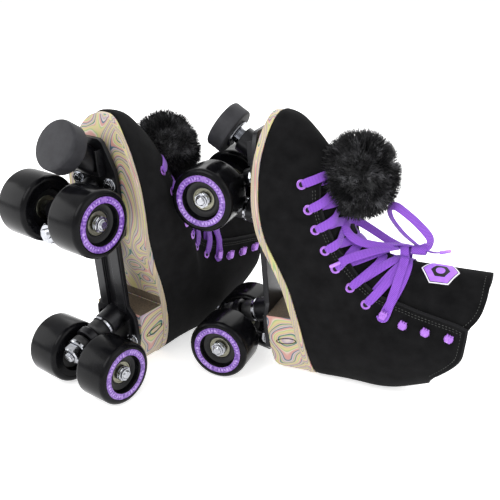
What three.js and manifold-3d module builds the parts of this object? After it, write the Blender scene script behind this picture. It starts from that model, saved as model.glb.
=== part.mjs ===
// A pair of quad roller skates lying on their backs, toes up, in millimetres with +Z up.
// Each skate is drawn standing in a frame of its own: x forward from the rear axle, y to the
// skater's left, z up from the ground under the wheels. A pose group then lays it down.
import * as THREE from 'three';
import Module from 'manifold-3d';
import { mergeVertices } from 'three/addons/utils/BufferGeometryUtils.js';

const wasm = await Module();
wasm.setup();

// ---- Driving dimensions ----
const GAP = 0.3; // clearance between pieces that touch

const WHEEL_DIAMETER = 62;
const WHEEL_WIDTH = 38;
const WHEEL_TRACK = 68; // between wheel centres on one axle
const WHEELBASE = 156.5;
const HUB_RECESS_DIAMETER = 34; // open recess in each face of a wheel
const BEARING_DIAMETER = 22;
const BEARING_WIDTH = 7;
const BEARING_SPACER = 10;
const SPACER_DIAMETER = 12;
const AXLE_DIAMETER = 8;
const AXLE_NUT_WIDTH = 13; // across the flats
const AXLE_NUT_HEIGHT = 6;
const AXLE_END = 2; // thread past the nut

const RUNNING_CLEARANCE = 0.5;
const HANGER_SHOULDER = 14; // diameter of the hanger's ends
const KINGPIN_DIAMETER = 9.5;
const KINGPIN_LEAN = 12.5; // degrees, top towards the middle of the skate
const KINGPIN_OFFSET = 18.5; // from the axle to the kingpin, at ring height
const RING_HEIGHT = 36; // yoke ring centre above the ground
const RING_DIAMETER = 27;
const RING_BORE = 16;
const RING_THICKNESS = 8;
const CUSHION_DIAMETER = 23;
const CUSHION_ROOM = 2.2; // clear space round the cushions in the hanger
const UPPER_CUSHION = 15;
const LOWER_CUSHION = 11;
const KINGPIN_NUT_WIDTH = 17;
const KINGPIN_NUT_HEIGHT = 9;
const PIVOT_OFFSET = 9; // from the axle to the pivot tip, away from the kingpin
const PIVOT_HEIGHT = 60;
const PIVOT_DIAMETER = 9;

const PLATE_THICKNESS = 4.5;
const PLATE_WAIST = 37; // width between the trucks
const PLATE_FRONT_WIDTH = 58;
const PLATE_REAR_WIDTH = 54;
const PLATE_BACK = -9;
const PLATE_FRONT = 214;
const GROOVE_WIDTH = 12;

const STOP_DIAMETER = 47;
const STOP_THICKNESS = 19;
const STOP_TILT = 37; // degrees from upright, face turned forward
const STOP_FACE = { x: 220, z: 34 };
const STEM_DIAMETER = 16;
const STEM_LENGTH = 26;
const BOSS_DIAMETER = 25;
const BOSS_LENGTH = 24;

const SOLE_THICKNESS = 6.8;
const SOLE_MARGIN = 1.2; // the sole board past the upper, all round
const HEEL_FRONT = 33;
const HEEL_TAPER = 0.9; // foot of the heel block against its top
const UPPER_WALL = 3.2;
const TONGUE_WALL = 5;
const FOOTBED_THICKNESS = 4;
const FOOTBED_CLEARANCE = 3.5;
const POMPOM_DIAMETER = 73;
const POMPOM_CLEARANCE = 4;
const POMPOM = { x: 173, z: 172 };
const LACE_WIDTH = 8.5;
const LACE_THICKNESS = 1.4;
const LACE_PINCH = 2; // width where the lace turns through an eyelet
const LACE_NARROW = 4; // width on the way into an eyelet
const LACE_CROSSING = 2; // lift of the upper half of the lace over the lower one
const LACE_LIFT = 2.2; // lace centreline above the upper
const LACE_FAN = 22; // depth of the point that a lace stretch fans out from

const SKATES = [
  { side: 'left', hand: 1, x: -159, y: -84.2, turn: 52.7 },
  { side: 'right', hand: -1, x: -12.8, y: -23.1, turn: -22.5 },
];

// ---- Profiles of the boot, side view (x, z) ----
const SOLE_TOP = profile([
  [-46, 120.5], [-25, 118.5], [18, 113.5], [57, 106], [81, 98.5], [100, 92], [115, 87.3],
  [130, 85.2], [150, 84.6], [170, 85.6], [190, 87.4], [203, 89.7], [216, 92.5], [236, 99],
]);
const BACK_LINE = profile([
  [-37.5, 120], [-39, 127], [-40.2, 136], [-41.3, 146], [-42.3, 157], [-43.3, 168],
  [-44.2, 178], [-44.3, 190], [-42.5, 203], [-37.5, 220], [-31, 240], [-25, 262],
]);
const FRONT_LINE = profile([
  [229.5, 98], [231.5, 112], [225, 133], [203, 148], [175, 153], [148, 154.5], [124, 160.5],
  [107, 174.5], [97, 195], [92.5, 218], [90, 243], [86, 289],
]);
const LATERAL_WIDTH = profile([
  [0, 31], [0.12, 34], [0.3, 35.5], [0.45, 37.5], [0.6, 46], [0.7, 50], [0.82, 47], [1, 36],
]);
const MEDIAL_WIDTH = profile([
  [0, 31], [0.12, 33.5], [0.3, 33], [0.45, 33], [0.6, 39], [0.72, 45], [0.85, 45], [1, 38],
]);
const SHAFT_WIDTH = profile([[0, 42], [0.25, 41], [0.5, 36], [0.75, 35.5], [1, 37.5]]);
const FACING_EDGE = [
  [178, 170], [174, 140], [160, 139], [142, 143], [125, 149.5], [106, 157.5], [89, 167],
  [75, 178], [65, 192], [60, 209], [55, 225], [51, 241], [46, 260], [42, 270],
];
const CUFF_EDGE = [[28, 268], [12, 264.5], [0, 256], [-12, 244], [-18, 238], [-29, 233], [-60, 229]];
const TONGUE_EDGE = [
  [182, 170], [182, 128], [150, 130], [110, 144], [80, 164], [60, 185], [50, 206], [44, 225],
  [38, 245], [37, 262], [46, 275], [62, 284], [86, 287], [120, 290],
];

const LEVELS = 11;
const RING = 20;
const SOLE_STEP = 10;

// ---- Small helpers ----
function profile(points) {
  return new THREE.SplineCurve(points.map(([x, y]) => new THREE.Vector2(x, y)));
}

// The height of a profile at a given x, by linear steps along the curve.
function heightAt(curve, x) {
  const points = curve.getPoints(80);
  const k = Math.max(1, points.findIndex((p) => p.x >= x));
  const [a, b] = [points[k - 1], points[k]];
  return a.y + ((b.y - a.y) * (x - a.x)) / (b.x - a.x);
}

function soleTop(x) {
  return heightAt(SOLE_TOP, THREE.MathUtils.clamp(x, -45.9, 235.9));
}

function solid(geometry) {
  const bare = new THREE.BufferGeometry();
  const flat = geometry.index ? geometry.toNonIndexed() : geometry;
  bare.setAttribute('position', flat.getAttribute('position'));
  const merged = mergeVertices(bare, 1e-4);
  return new wasm.Manifold(new wasm.Mesh({
    numProp: 3,
    vertProperties: merged.attributes.position.array,
    triVerts: new Uint32Array(merged.index.array),
  }));
}

function geometryOf(manifold) {
  const { vertProperties, triVerts } = manifold.getMesh();
  const geometry = new THREE.BufferGeometry();
  geometry.setAttribute('position', new THREE.BufferAttribute(vertProperties, 3));
  geometry.setIndex(new THREE.BufferAttribute(triVerts, 1));
  return geometry;
}

function joined(first, ...others) {
  return others.reduce((sum, next) => sum.add(next), first);
}

// A cylinder of a given diameter from one point to another.
function rod(from, to, diameter, sides = 14, endDiameter = diameter) {
  const way = new THREE.Vector3().subVectors(to, from);
  const geometry = new THREE.CylinderGeometry(endDiameter / 2, diameter / 2, way.length(), sides);
  geometry.rotateY(Math.PI / sides);
  geometry.translate(0, way.length() / 2, 0);
  geometry.applyQuaternion(
    new THREE.Quaternion().setFromUnitVectors(new THREE.Vector3(0, 1, 0), way.normalize()),
  );
  return geometry.translate(from.x, from.y, from.z);
}

function block(x0, x1, y0, y1, z0, z1) {
  return new THREE.BoxGeometry(x1 - x0, y1 - y0, z1 - z0)
    .translate((x0 + x1) / 2, (y0 + y1) / 2, (z0 + z1) / 2);
}

// A side-view outline (x, z) made solid across the whole width of the skate.
function slab(points, halfWidth = 90) {
  const shape = new THREE.Shape(points.map(([x, z]) => new THREE.Vector2(x, z)));
  const geometry = new THREE.ExtrudeGeometry(shape, { depth: 2 * halfWidth, bevelEnabled: false });
  return geometry.rotateX(Math.PI / 2).translate(0, halfWidth, 0);
}

// A closed skin over rings of equal length. Point i of a ring faces point n - i across y,
// and the two end caps join those pairs with strips.
function loft(rings) {
  const n = rings[0].length;
  const position = rings.flat().flatMap((p) => [p.x, p.y, p.z]);
  const index = [];
  for (let r = 0; r + 1 < rings.length; r++) {
    for (let i = 0; i < n; i++) {
      const [a, b] = [r * n + i, r * n + ((i + 1) % n)];
      index.push(a, b, b + n, a, b + n, a + n);
    }
  }
  const last = (rings.length - 1) * n;
  for (let i = 0; i < n / 2; i++) {
    const [a, b, c, d] = [i, i + 1, n - i - 1, (n - i) % n];
    if (a !== d) index.push(a, d, c, last + a, last + c, last + d);
    if (b !== c) index.push(a, c, b, last + a, last + b, last + c);
  }
  const geometry = new THREE.BufferGeometry();
  geometry.setAttribute('position', new THREE.BufferAttribute(new Float32Array(position), 3));
  geometry.setIndex(index);
  return geometry;
}

// A turned piece: (radius, along) pairs, closed on themselves, about the local y axis.
function turned(points, sides) {
  const outline = [...points, points[0]].map(([r, y]) => new THREE.Vector2(r, y));
  return new THREE.LatheGeometry(outline, sides).rotateY(Math.PI / sides);
}

// ---- The boot ----
// One point of the boot's outer surface: level 0 is the sole line and 1 the top of the shaft,
// and angle 0 is the front and PI the back.
function bootPoint(level, angle, hand) {
  const back = BACK_LINE.getPoint(level);
  const front = FRONT_LINE.getPoint(level);
  const along = (1 + Math.cos(angle)) / 2;
  const x = back.x + (front.x - back.x) * along;
  const straight = back.y + (front.y - back.y) * along;
  const sag = Math.max(0, 1 - level / 0.42) ** 1.5;
  const z = straight + (soleTop(x) - straight) * sag;
  const lateral = Math.sin(angle) * hand > 0;
  const foot = (lateral ? LATERAL_WIDTH : MEDIAL_WIDTH).getPoint(along).y;
  const shaft = SHAFT_WIDTH.getPoint(level).y;
  const rise = THREE.MathUtils.smoothstep(level, 0.05, 0.6);
  const width = foot + (shaft - foot) * rise;
  const blunt = 2.65 - 0.6 * THREE.MathUtils.smoothstep(level, 0.05, 0.35);
  const round = (1 - Math.abs(2 * along - 1) ** blunt) ** (1 / blunt);
  return new THREE.Vector3(x, Math.sign(Math.sin(angle)) * width * round, z);
}

function bootNormal(level, angle, hand) {
  const e = 0.004;
  const v = THREE.MathUtils.clamp(level, e, 1 - e);
  const up = bootPoint(v + e, angle, hand).sub(bootPoint(v - e, angle, hand));
  const round = bootPoint(v, angle + e, hand).sub(bootPoint(v, angle - e, hand));
  return round.cross(up).normalize();
}

// The boot's surface moved inwards by an inset, and carried on down past the sole.
function bootSkin(inset, hand, levels = LEVELS, around = RING) {
  const rings = [];
  for (let k = 0; k <= levels; k++) {
    const level = k / levels;
    const ring = [];
    for (let i = 0; i < around; i++) {
      const angle = (2 * Math.PI * i) / around;
      const point = bootPoint(level, angle, hand);
      ring.push(point.addScaledVector(bootNormal(level, angle, hand), -inset));
    }
    rings.push(ring);
  }
  const skirt = rings[0].map((p) => p.clone().setZ(p.z - 15));
  return solid(loft([skirt, ...rings]));
}

function soleLine(lift) {
  const points = [];
  for (let x = -60; x <= 250; x += SOLE_STEP) points.push([x, soleTop(x) + lift]);
  return points;
}

function bootUpper(hand) {
  const region = [...soleLine(GAP), [260, 170], ...FACING_EDGE, ...CUFF_EDGE];
  return bootSkin(0, hand).subtract(bootSkin(UPPER_WALL, hand)).intersect(solid(slab(region)));
}

function tongue(hand) {
  const shell = bootSkin(UPPER_WALL + GAP, hand).subtract(bootSkin(UPPER_WALL + TONGUE_WALL, hand));
  return shell.intersect(solid(slab(TONGUE_EDGE)));
}

// The sole line drawn in plan, moved outwards by a margin.
function planRing(margin, hand, height) {
  const ring = [];
  for (let i = 0; i < RING * 1.5; i++) {
    const p = bootPoint(0, (2 * Math.PI * i) / (RING * 1.5), hand);
    const out = bootNormal(0, (2 * Math.PI * i) / (RING * 1.5), hand).setZ(0).normalize();
    p.addScaledVector(out, margin);
    ring.push(p.setZ(height(p.x)));
  }
  return ring;
}

// A sheet that follows the sole's curve between two lifts, cut to the sole line in plan.
function soleSheet(margin, from, to, hand) {
  const prism = solid(loft([planRing(margin, hand, () => 40), planRing(margin, hand, () => 160)]));
  return prism.intersect(solid(slab([...soleLine(from), ...soleLine(to).reverse()])));
}

function outsole(hand) {
  return soleSheet(SOLE_MARGIN, -SOLE_THICKNESS, 0, hand);
}

function footbed(hand) {
  const inset = -UPPER_WALL - FOOTBED_CLEARANCE;
  return soleSheet(inset, GAP, GAP + FOOTBED_THICKNESS, hand);
}

function plateTop() {
  const heights = SOLE_TOP.getPoints(80).map((p) => p.y);
  return Math.min(...heights) - SOLE_THICKNESS - GAP;
}

function heelBlock(hand) {
  const base = plateTop() + GAP;
  const heel = { x: HEEL_FRONT - 40, y: 0 };
  const top = planRing(SOLE_MARGIN, hand, () => 125);
  const foot = top.map((p) => new THREE.Vector3(
    heel.x + (p.x - heel.x) * HEEL_TAPER, p.y * HEEL_TAPER, base));
  const under = soleLine(-SOLE_THICKNESS - GAP).filter(([x]) => x <= HEEL_FRONT);
  const ends = [[HEEL_FRONT, soleTop(HEEL_FRONT) - SOLE_THICKNESS - GAP], [HEEL_FRONT, base - 5]];
  return solid(loft([foot, top])).intersect(solid(slab([[-60, base - 5], ...under, ...ends])));
}

// ---- Trucks, wheels and plate ----
// A truck's own places: dx counts from its axle towards the middle of the skate.
function truckFrame(end) {
  const flip = end === 'rear' ? 1 : -1;
  const axleX = end === 'rear' ? 0 : WHEELBASE;
  const at = (dx, z) => new THREE.Vector3(axleX + flip * dx, 0, z);
  const lean = THREE.MathUtils.degToRad(KINGPIN_LEAN);
  const up = new THREE.Vector3(flip * Math.sin(lean), 0, Math.cos(lean));
  const ring = at(KINGPIN_OFFSET, RING_HEIGHT);
  const along = (distance) => ring.clone().addScaledVector(up, distance);
  return { at, along, axle: at(0, WHEEL_DIAMETER / 2), pivot: at(-PIVOT_OFFSET, PIVOT_HEIGHT) };
}

const AXLE_Z = WHEEL_DIAMETER / 2;
const BEARING_SET = 2 * BEARING_WIDTH + BEARING_SPACER;
const SHOULDER_Y = WHEEL_TRACK / 2 - BEARING_SET / 2 - GAP;
const NUT_Y = WHEEL_TRACK / 2 + BEARING_SET / 2 + GAP;
const UPPER_SEAT = RING_THICKNESS / 2 + GAP + UPPER_CUSHION + GAP;
const LOWER_SEAT = RING_THICKNESS / 2 + GAP + LOWER_CUSHION + GAP;
const WASHER = 1.6;

function hanger(end) {
  const { at, along, axle, pivot } = truckFrame(end);
  const half = new THREE.Vector3(0, SHOULDER_Y, 0);
  const core = new THREE.Vector3(0, WHEEL_TRACK / 2 - WHEEL_WIDTH / 2 - 2.5, 0);
  const tube = rod(axle.clone().sub(half), axle.clone().add(half), HANGER_SHOULDER);
  const body = rod(axle.clone().sub(core), axle.clone().add(core), 21);
  const ring = rod(along(-RING_THICKNESS / 2), along(RING_THICKNESS / 2), RING_DIAMETER);
  const web = slab([
    [axle.x, AXLE_Z - 9], [at(9, 0).x, RING_HEIGHT - 8], [at(9, 0).x, RING_HEIGHT + 2],
    [axle.x, AXLE_Z + 9],
  ], RING_DIAMETER / 2 - 3);
  const arm = rod(axle, pivot, 15, 10, PIVOT_DIAMETER);
  const tip = new THREE.SphereGeometry(PIVOT_DIAMETER / 2, 10, 6)
    .translate(pivot.x, pivot.y, pivot.z);
  const bore = rod(along(-RING_THICKNESS), along(RING_THICKNESS), RING_BORE);
  const shaft = rod(axle.clone().sub(half).sub(half), axle.clone().add(half).add(half),
    AXLE_DIAMETER + 2 * GAP, 12);
  const pieces = [tube, body, ring, web, arm, tip].map(solid);
  const room = CUSHION_DIAMETER + 2 * CUSHION_ROOM;
  const above = rod(along(RING_THICKNESS / 2), along(60), room);
  const below = rod(along(-60), along(-RING_THICKNESS / 2), room);
  const cuts = [bore, shaft, above, below].map(solid);
  return cuts.reduce((rest, cut) => rest.subtract(cut), joined(...pieces));
}

// A turned piece stood on the kingpin's line, with y counted from the yoke ring's centre.
function onKingpin(end, points) {
  const { along } = truckFrame(end);
  const up = along(1).sub(along(0));
  const geometry = turned(points, 12);
  geometry.applyQuaternion(
    new THREE.Quaternion().setFromUnitVectors(new THREE.Vector3(0, 1, 0), up));
  return solid(geometry.translate(along(0).x, 0, along(0).z));
}

function kingpin(end) {
  const { along } = truckFrame(end);
  const [pin, washer] = [KINGPIN_DIAMETER / 2, CUSHION_DIAMETER / 2];
  const nutTop = -LOWER_SEAT - WASHER;
  const nutEnd = nutTop - KINGPIN_NUT_HEIGHT;
  const shaft = onKingpin(end, [
    [0, nutEnd - 3], [pin, nutEnd - 3], [pin, nutTop], [washer, nutTop],
    [washer, -LOWER_SEAT], [pin, -LOWER_SEAT], [pin, UPPER_SEAT], [washer, UPPER_SEAT],
    [washer, UPPER_SEAT + WASHER], [pin, UPPER_SEAT + WASHER], [pin, UPPER_SEAT + WASHER + 12],
    [0, UPPER_SEAT + WASHER + 12],
  ]);
  const across = KINGPIN_NUT_WIDTH / Math.cos(Math.PI / 6);
  return shaft.add(solid(rod(along(nutEnd), along(nutTop + 0.1), across, 6)));
}

// Two cushions, above and below the yoke ring, on one sleeve through it.
function cushions(end) {
  const [bore, outer] = [KINGPIN_DIAMETER / 2 + GAP, CUSHION_DIAMETER / 2];
  const sleeve = bore + 1.4;
  const start = RING_THICKNESS / 2 + GAP;
  return onKingpin(end, [
    [bore, -start - LOWER_CUSHION], [outer, -start - LOWER_CUSHION], [outer, -start],
    [sleeve, -start], [sleeve, start], [outer, start], [outer, start + UPPER_CUSHION],
    [bore, start + UPPER_CUSHION],
  ]);
}

function axle(end) {
  const { axle: centre } = truckFrame(end);
  const half = new THREE.Vector3(0, NUT_Y + AXLE_NUT_HEIGHT + AXLE_END, 0);
  return solid(rod(centre.clone().sub(half), centre.clone().add(half), AXLE_DIAMETER, 12));
}

function axleNut(end, side) {
  const { axle: centre } = truckFrame(end);
  const across = AXLE_NUT_WIDTH / Math.cos(Math.PI / 6);
  const bore = (AXLE_DIAMETER + 2 * GAP) / Math.cos(Math.PI / 12);
  const at = (y) => centre.clone().setY(side * y);
  const hexagon = rod(at(NUT_Y), at(NUT_Y + AXLE_NUT_HEIGHT), across, 6);
  return solid(hexagon).subtract(solid(rod(centre, at(NUT_Y + 20), bore, 12)));
}

const WHEEL_SIDES = 16;
const BEARING_SIDES = 12;

function wheelGeometry() {
  const r = WHEEL_DIAMETER / 2;
  const w = WHEEL_WIDTH / 2;
  const recess = HUB_RECESS_DIAMETER / 2;
  const seat = BEARING_SET / 2;
  const bore = BEARING_DIAMETER / 2 + GAP;
  const half = [[bore, seat], [recess, seat + 0.8], [recess + 2, w], [r - 5, w], [r, w - 5]];
  const mirrored = half.map(([radius, y]) => [radius, -y]);
  return turned([...mirrored, ...half.reverse()], WHEEL_SIDES);
}

function bearingGeometry() {
  const outer = BEARING_DIAMETER / 2;
  const bore = AXLE_DIAMETER / 2 + GAP;
  const [end, inner] = [BEARING_SET / 2, BEARING_SPACER / 2];
  return turned([
    [bore, -end], [outer, -end], [outer, -inner], [SPACER_DIAMETER / 2, -inner],
    [SPACER_DIAMETER / 2, inner], [outer, inner], [outer, end], [bore, end],
  ], BEARING_SIDES);
}

// ---- Toe stop ----
function stopFrame() {
  const tilt = THREE.MathUtils.degToRad(STOP_TILT);
  const inward = new THREE.Vector3(-Math.sin(tilt), 0, Math.cos(tilt));
  const face = new THREE.Vector3(STOP_FACE.x, 0, STOP_FACE.z);
  return (distance) => face.clone().addScaledVector(inward, distance);
}

function toeStop() {
  const along = stopFrame();
  const r = STOP_DIAMETER / 2;
  const outline = [
    [0, 0], [r - 5, 0.6], [r - 1, 3], [r, 6], [r - 0.6, STOP_THICKNESS - 4],
    [r - 4, STOP_THICKNESS], [0, STOP_THICKNESS],
  ].map(([radius, y]) => new THREE.Vector2(radius, y));
  const geometry = new THREE.LatheGeometry(outline, 18);
  geometry.applyQuaternion(new THREE.Quaternion().setFromUnitVectors(
    new THREE.Vector3(0, 1, 0), along(1).sub(along(0))));
  return solid(geometry.translate(along(0).x, 0, along(0).z));
}

function toeStopStem() {
  const along = stopFrame();
  const start = STOP_THICKNESS + GAP;
  const flange = rod(along(start), along(start + 2.5), STEM_DIAMETER + 12);
  const stem = rod(along(start + 2), along(start + STEM_LENGTH), STEM_DIAMETER);
  return joined(solid(flange), solid(stem));
}

// ---- Plate ----
function plateOutline() {
  const [mid, front, rear] = [PLATE_WAIST / 2, PLATE_FRONT_WIDTH / 2, PLATE_REAR_WIDTH / 2];
  const half = [
    [PLATE_BACK, rear - 8], [PLATE_BACK + 8, rear], [HEEL_FRONT - 8, rear],
    [HEEL_FRONT + 8, mid], [WHEELBASE - 44, mid], [WHEELBASE - 32, front],
    [WHEELBASE + 28, front], [PLATE_FRONT - 6, 18], [PLATE_FRONT, 12],
  ];
  const points = [...half, ...half.map(([x, y]) => [x, -y]).reverse()];
  return new THREE.Shape(points.map(([x, y]) => new THREE.Vector2(x, y)));
}

function plate() {
  const top = plateTop();
  const under = top - PLATE_THICKNESS;
  const sheet = new THREE.ExtrudeGeometry(plateOutline(),
    { depth: PLATE_THICKNESS, bevelEnabled: false }).translate(0, 0, under);
  const parts = [solid(sheet)];
  const cuts = [solid(block(HEEL_FRONT + 6, WHEELBASE - 36, -GROOVE_WIDTH / 2,
    GROOVE_WIDTH / 2, under - 1, top - 2))];
  for (const end of ['rear', 'front']) {
    const { along, pivot, axle: axleCentre } = truckFrame(end);
    const seat = UPPER_SEAT + WASHER + GAP;
    const reach = (top - along(seat).z) / 0.97 - 2;
    parts.push(solid(rod(along(seat), along(seat + reach), CUSHION_DIAMETER + 2)));
    cuts.push(solid(rod(along(0), along(seat + 60), KINGPIN_DIAMETER + 2 * GAP, 12)));
    const way = pivot.clone().sub(axleCentre).normalize();
    const cup = (distance) => pivot.clone().addScaledVector(way, distance);
    parts.push(solid(rod(cup(-3), cup(14), PIVOT_DIAMETER + 9)));
    cuts.push(solid(rod(cup(-12), cup(6), PIVOT_DIAMETER + 4, 12)));
  }
  const stop = stopFrame();
  const bossEnd = STOP_THICKNESS + STEM_LENGTH + 6;
  parts.push(solid(rod(stop(bossEnd - BOSS_LENGTH), stop(bossEnd), BOSS_DIAMETER)));
  cuts.push(solid(rod(stop(0), stop(90), STEM_DIAMETER + 2 * RUNNING_CLEARANCE)));
  cuts.push(solid(block(-100, 300, -90, 90, top, top + 40)));
  return cuts.reduce((rest, cut) => rest.subtract(cut), joined(...parts));
}

// ---- Laces and pompom ----
// Eyelet rows, as (level, angle) on the boot's surface, from the toe up.
const EYELETS = [
  [0.244, 0.80], [0.272, 0.97], [0.30, 1.09], [0.34, 1.19], [0.396, 1.25], [0.544, 1.17],
  [0.636, 1.22], [0.716, 1.28],
];

// Stations of the lace between two rows: how far across, the share of its crossing lift, width.
const LACE_STEPS = [
  [0.16, 0.3, LACE_NARROW], [0.3, 1, LACE_WIDTH], [0.41, 1, LACE_WIDTH], [0.5, 1, LACE_WIDTH],
  [0.59, 1, LACE_WIDTH], [0.7, 1, LACE_WIDTH], [0.84, 0.3, LACE_NARROW],
];

// A flat strap through stations of {point, normal, width}, with square ends.
function strap(stations) {
  const position = [];
  stations.forEach(({ point, normal, width }, i) => {
    const before = stations[Math.max(0, i - 1)].point;
    const after = stations[Math.min(stations.length - 1, i + 1)].point;
    const way = after.clone().sub(before).normalize();
    const side = new THREE.Vector3().crossVectors(way, normal).setLength(width / 2);
    const up = new THREE.Vector3().crossVectors(side, way).setLength(LACE_THICKNESS / 2);
    for (const [s, u] of [[1, 1], [-1, 1], [-1, -1], [1, -1]]) {
      const corner = point.clone().addScaledVector(side, s).addScaledVector(up, u);
      position.push(corner.x, corner.y, corner.z);
    }
  });
  const end = 4 * (stations.length - 1);
  const index = [0, 1, 2, 0, 2, 3, end, end + 2, end + 1, end, end + 3, end + 2];
  for (let r = 0; r < end; r += 4) {
    for (let i = 0; i < 4; i++) {
      const [a, b] = [r + i, r + ((i + 1) % 4)];
      index.push(a, b + 4, b, a, a + 4, b + 4);
    }
  }
  const geometry = new THREE.BufferGeometry();
  geometry.setAttribute('position', new THREE.BufferAttribute(new Float32Array(position), 3));
  geometry.setIndex(index);
  return solid(geometry);
}

// A place for the lace at a lift over the boot's surface, and the way outwards there.
function laceStation(level, angle, hand, lift, width) {
  const normal = bootNormal(level, angle, hand);
  return { point: bootPoint(level, angle, hand).addScaledVector(normal, lift), normal, width };
}

// The (level, angle) at which a ray from inside the boot leaves its surface.
function exitOf(origin, way, hand) {
  let best = { level: 0.5, angle: 0, miss: Infinity };
  let [levelStep, angleStep] = [0.125, 0.35];
  for (let pass = 0; pass < 9; pass++) {
    const { level: level0, angle: angle0 } = best;
    for (let i = -4; i <= 4; i++) {
      for (let j = -4; j <= 4; j++) {
        const level = THREE.MathUtils.clamp(level0 + i * levelStep, 0.02, 0.98);
        const angle = angle0 + j * angleStep;
        const ray = bootPoint(level, angle, hand).sub(origin).normalize();
        const miss = ray.distanceTo(way);
        if (miss < best.miss) best = { level, angle, miss };
      }
    }
    levelStep /= 2;
    angleStep /= 2;
  }
  return best;
}

// A stretch of lace over the tongue, between the eyelets of two rows on opposite sides. Its
// stations lie where rays from a point under the middle of the stretch leave the boot.
function laceSpan(row, nextRow, side, hand, steps, crossing) {
  const eyelet = ([level, angle], where) => bootPoint(level, where * angle, hand);
  const start = eyelet(EYELETS[row], side);
  const end = eyelet(EYELETS[nextRow], -side);
  const [low, high] = [0, 1].map((k) => eyelet(EYELETS[Math.min(row, nextRow) + k], side));
  const outwards = new THREE.Vector3(high.z - low.z, 0, low.x - high.x).normalize();
  const origin = start.clone().add(end).multiplyScalar(0.5).addScaledVector(outwards, -LACE_FAN);
  return steps.map(([t, share, width]) => {
    const way = start.clone().lerp(end, t).sub(origin).normalize();
    const { level, angle } = exitOf(origin, way, hand);
    return laceStation(level, angle, hand, LACE_LIFT + crossing * share, width);
  });
}

// One half of the lace, from the lowest eyelet on its side up to the highest row. It crosses
// the tongue between rows, lifted there by a height of its own.
function laceHalf(startSide, crossing, hand) {
  const stations = [];
  EYELETS.forEach(([level, angle], row) => {
    const side = row % 2 ? -startSide : startSide;
    stations.push(laceStation(level, side * angle, hand, LACE_LIFT, LACE_PINCH));
    if (row + 1 === EYELETS.length) return;
    stations.push(...laceSpan(row, row + 1, side, hand, LACE_STEPS, crossing));
  });
  return stations;
}

// The whole lace is one strap: down one half, across between the lowest eyelets, up the other.
function laces(hand) {
  const over = laceHalf(1, LACE_CROSSING, hand).reverse();
  return strap([...over, ...laceSpan(0, 0, 1, hand, LACE_STEPS, 0), ...laceHalf(-1, 0, hand)]);
}

function pompom(hand) {
  const ball = new THREE.SphereGeometry(POMPOM_DIAMETER / 2, 14, 9)
    .translate(POMPOM.x, 0, POMPOM.z);
  return solid(ball).subtract(bootSkin(-LACE_LIFT - LACE_CROSSING - POMPOM_CLEARANCE, hand));
}

// ---- Materials ----
const MATERIALS = {
  suede: [0x17181a, 0.95, 0],
  lining: [0x1c1c1e, 0.95, 0],
  layered: [0xd9cdb4, 0.6, 0],
  blackMetal: [0x18181b, 0.35, 0.6],
  chrome: [0xd8dadd, 0.18, 1],
  blackRubber: [0x101012, 0.6, 0],
  urethane: [0x111114, 0.3, 0],
  stopRubber: [0x37373b, 0.75, 0],
  lace: [0xa86be0, 0.8, 0],
  fur: [0x0b0b0d, 1, 0],
};

function materialOf(key) {
  const [color, roughness, metalness] = MATERIALS[key];
  return new THREE.MeshStandardMaterial({ color, roughness, metalness });
}

function named(name, geometry, key) {
  const mesh = new THREE.Mesh(geometry, materialOf(key));
  mesh.name = name;
  return mesh;
}

// ---- Assembly ----
function truckMeshes(side, end) {
  const pieces = [
    ['hanger', hanger(end), 'blackMetal'],
    ['kingpin', kingpin(end), 'chrome'],
    ['cushions', cushions(end), 'blackRubber'],
    ['axle', axle(end), 'chrome'],
    ['axle_nut_l', axleNut(end, 1), 'chrome'],
    ['axle_nut_r', axleNut(end, -1), 'chrome'],
  ];
  return pieces.map(([what, made, key]) => named(`${side}_${end}_${what}`, geometryOf(made), key));
}

function wheelMeshes(side) {
  const meshes = [];
  for (const [end, x] of [['front', WHEELBASE], ['rear', 0]]) {
    for (const [where, y] of [['l', WHEEL_TRACK / 2], ['r', -WHEEL_TRACK / 2]]) {
      const wheel = named(`${side}_wheel_${end}_${where}`, wheelGeometry(), 'urethane');
      const bearings = named(`${side}_bearings_${end}_${where}`, bearingGeometry(), 'chrome');
      for (const mesh of [wheel, bearings]) mesh.position.set(x, y, AXLE_Z);
      meshes.push(wheel, bearings);
    }
  }
  return meshes;
}

function skate({ side, hand }) {
  const group = new THREE.Group();
  const pieces = [
    ['boot_upper', bootUpper(hand), 'suede'],
    ['tongue', tongue(hand), 'suede'],
    ['footbed', footbed(hand), 'lining'],
    ['outsole', outsole(hand), 'layered'],
    ['heel_block', heelBlock(hand), 'layered'],
    ['plate', plate(), 'blackMetal'],
    ['toe_stop', toeStop(), 'stopRubber'],
    ['toe_stop_stem', toeStopStem(), 'chrome'],
    ['laces', laces(hand), 'lace'],
    ['pompom', pompom(hand), 'fur'],
  ];
  for (const [what, made, key] of pieces) {
    group.add(named(`${side}_${what}`, geometryOf(made), key));
  }
  group.add(...truckMeshes(side, 'front'), ...truckMeshes(side, 'rear'), ...wheelMeshes(side));
  return group;
}

// The angle the skate leans back by, with its rear wheels and the back of its boot on the floor.
function leanAngle() {
  let low = -0.5;
  let high = 0.8;
  const clearance = (angle) => Math.min(...BACK_LINE.getPoints(60).map(
    (p) => AXLE_Z + p.x * Math.cos(angle) + (p.y - AXLE_Z) * Math.sin(angle)));
  for (let i = 0; i < 50; i++) {
    const middle = (low + high) / 2;
    if (clearance(middle) > 0) high = middle;
    else low = middle;
  }
  return high;
}

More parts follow.
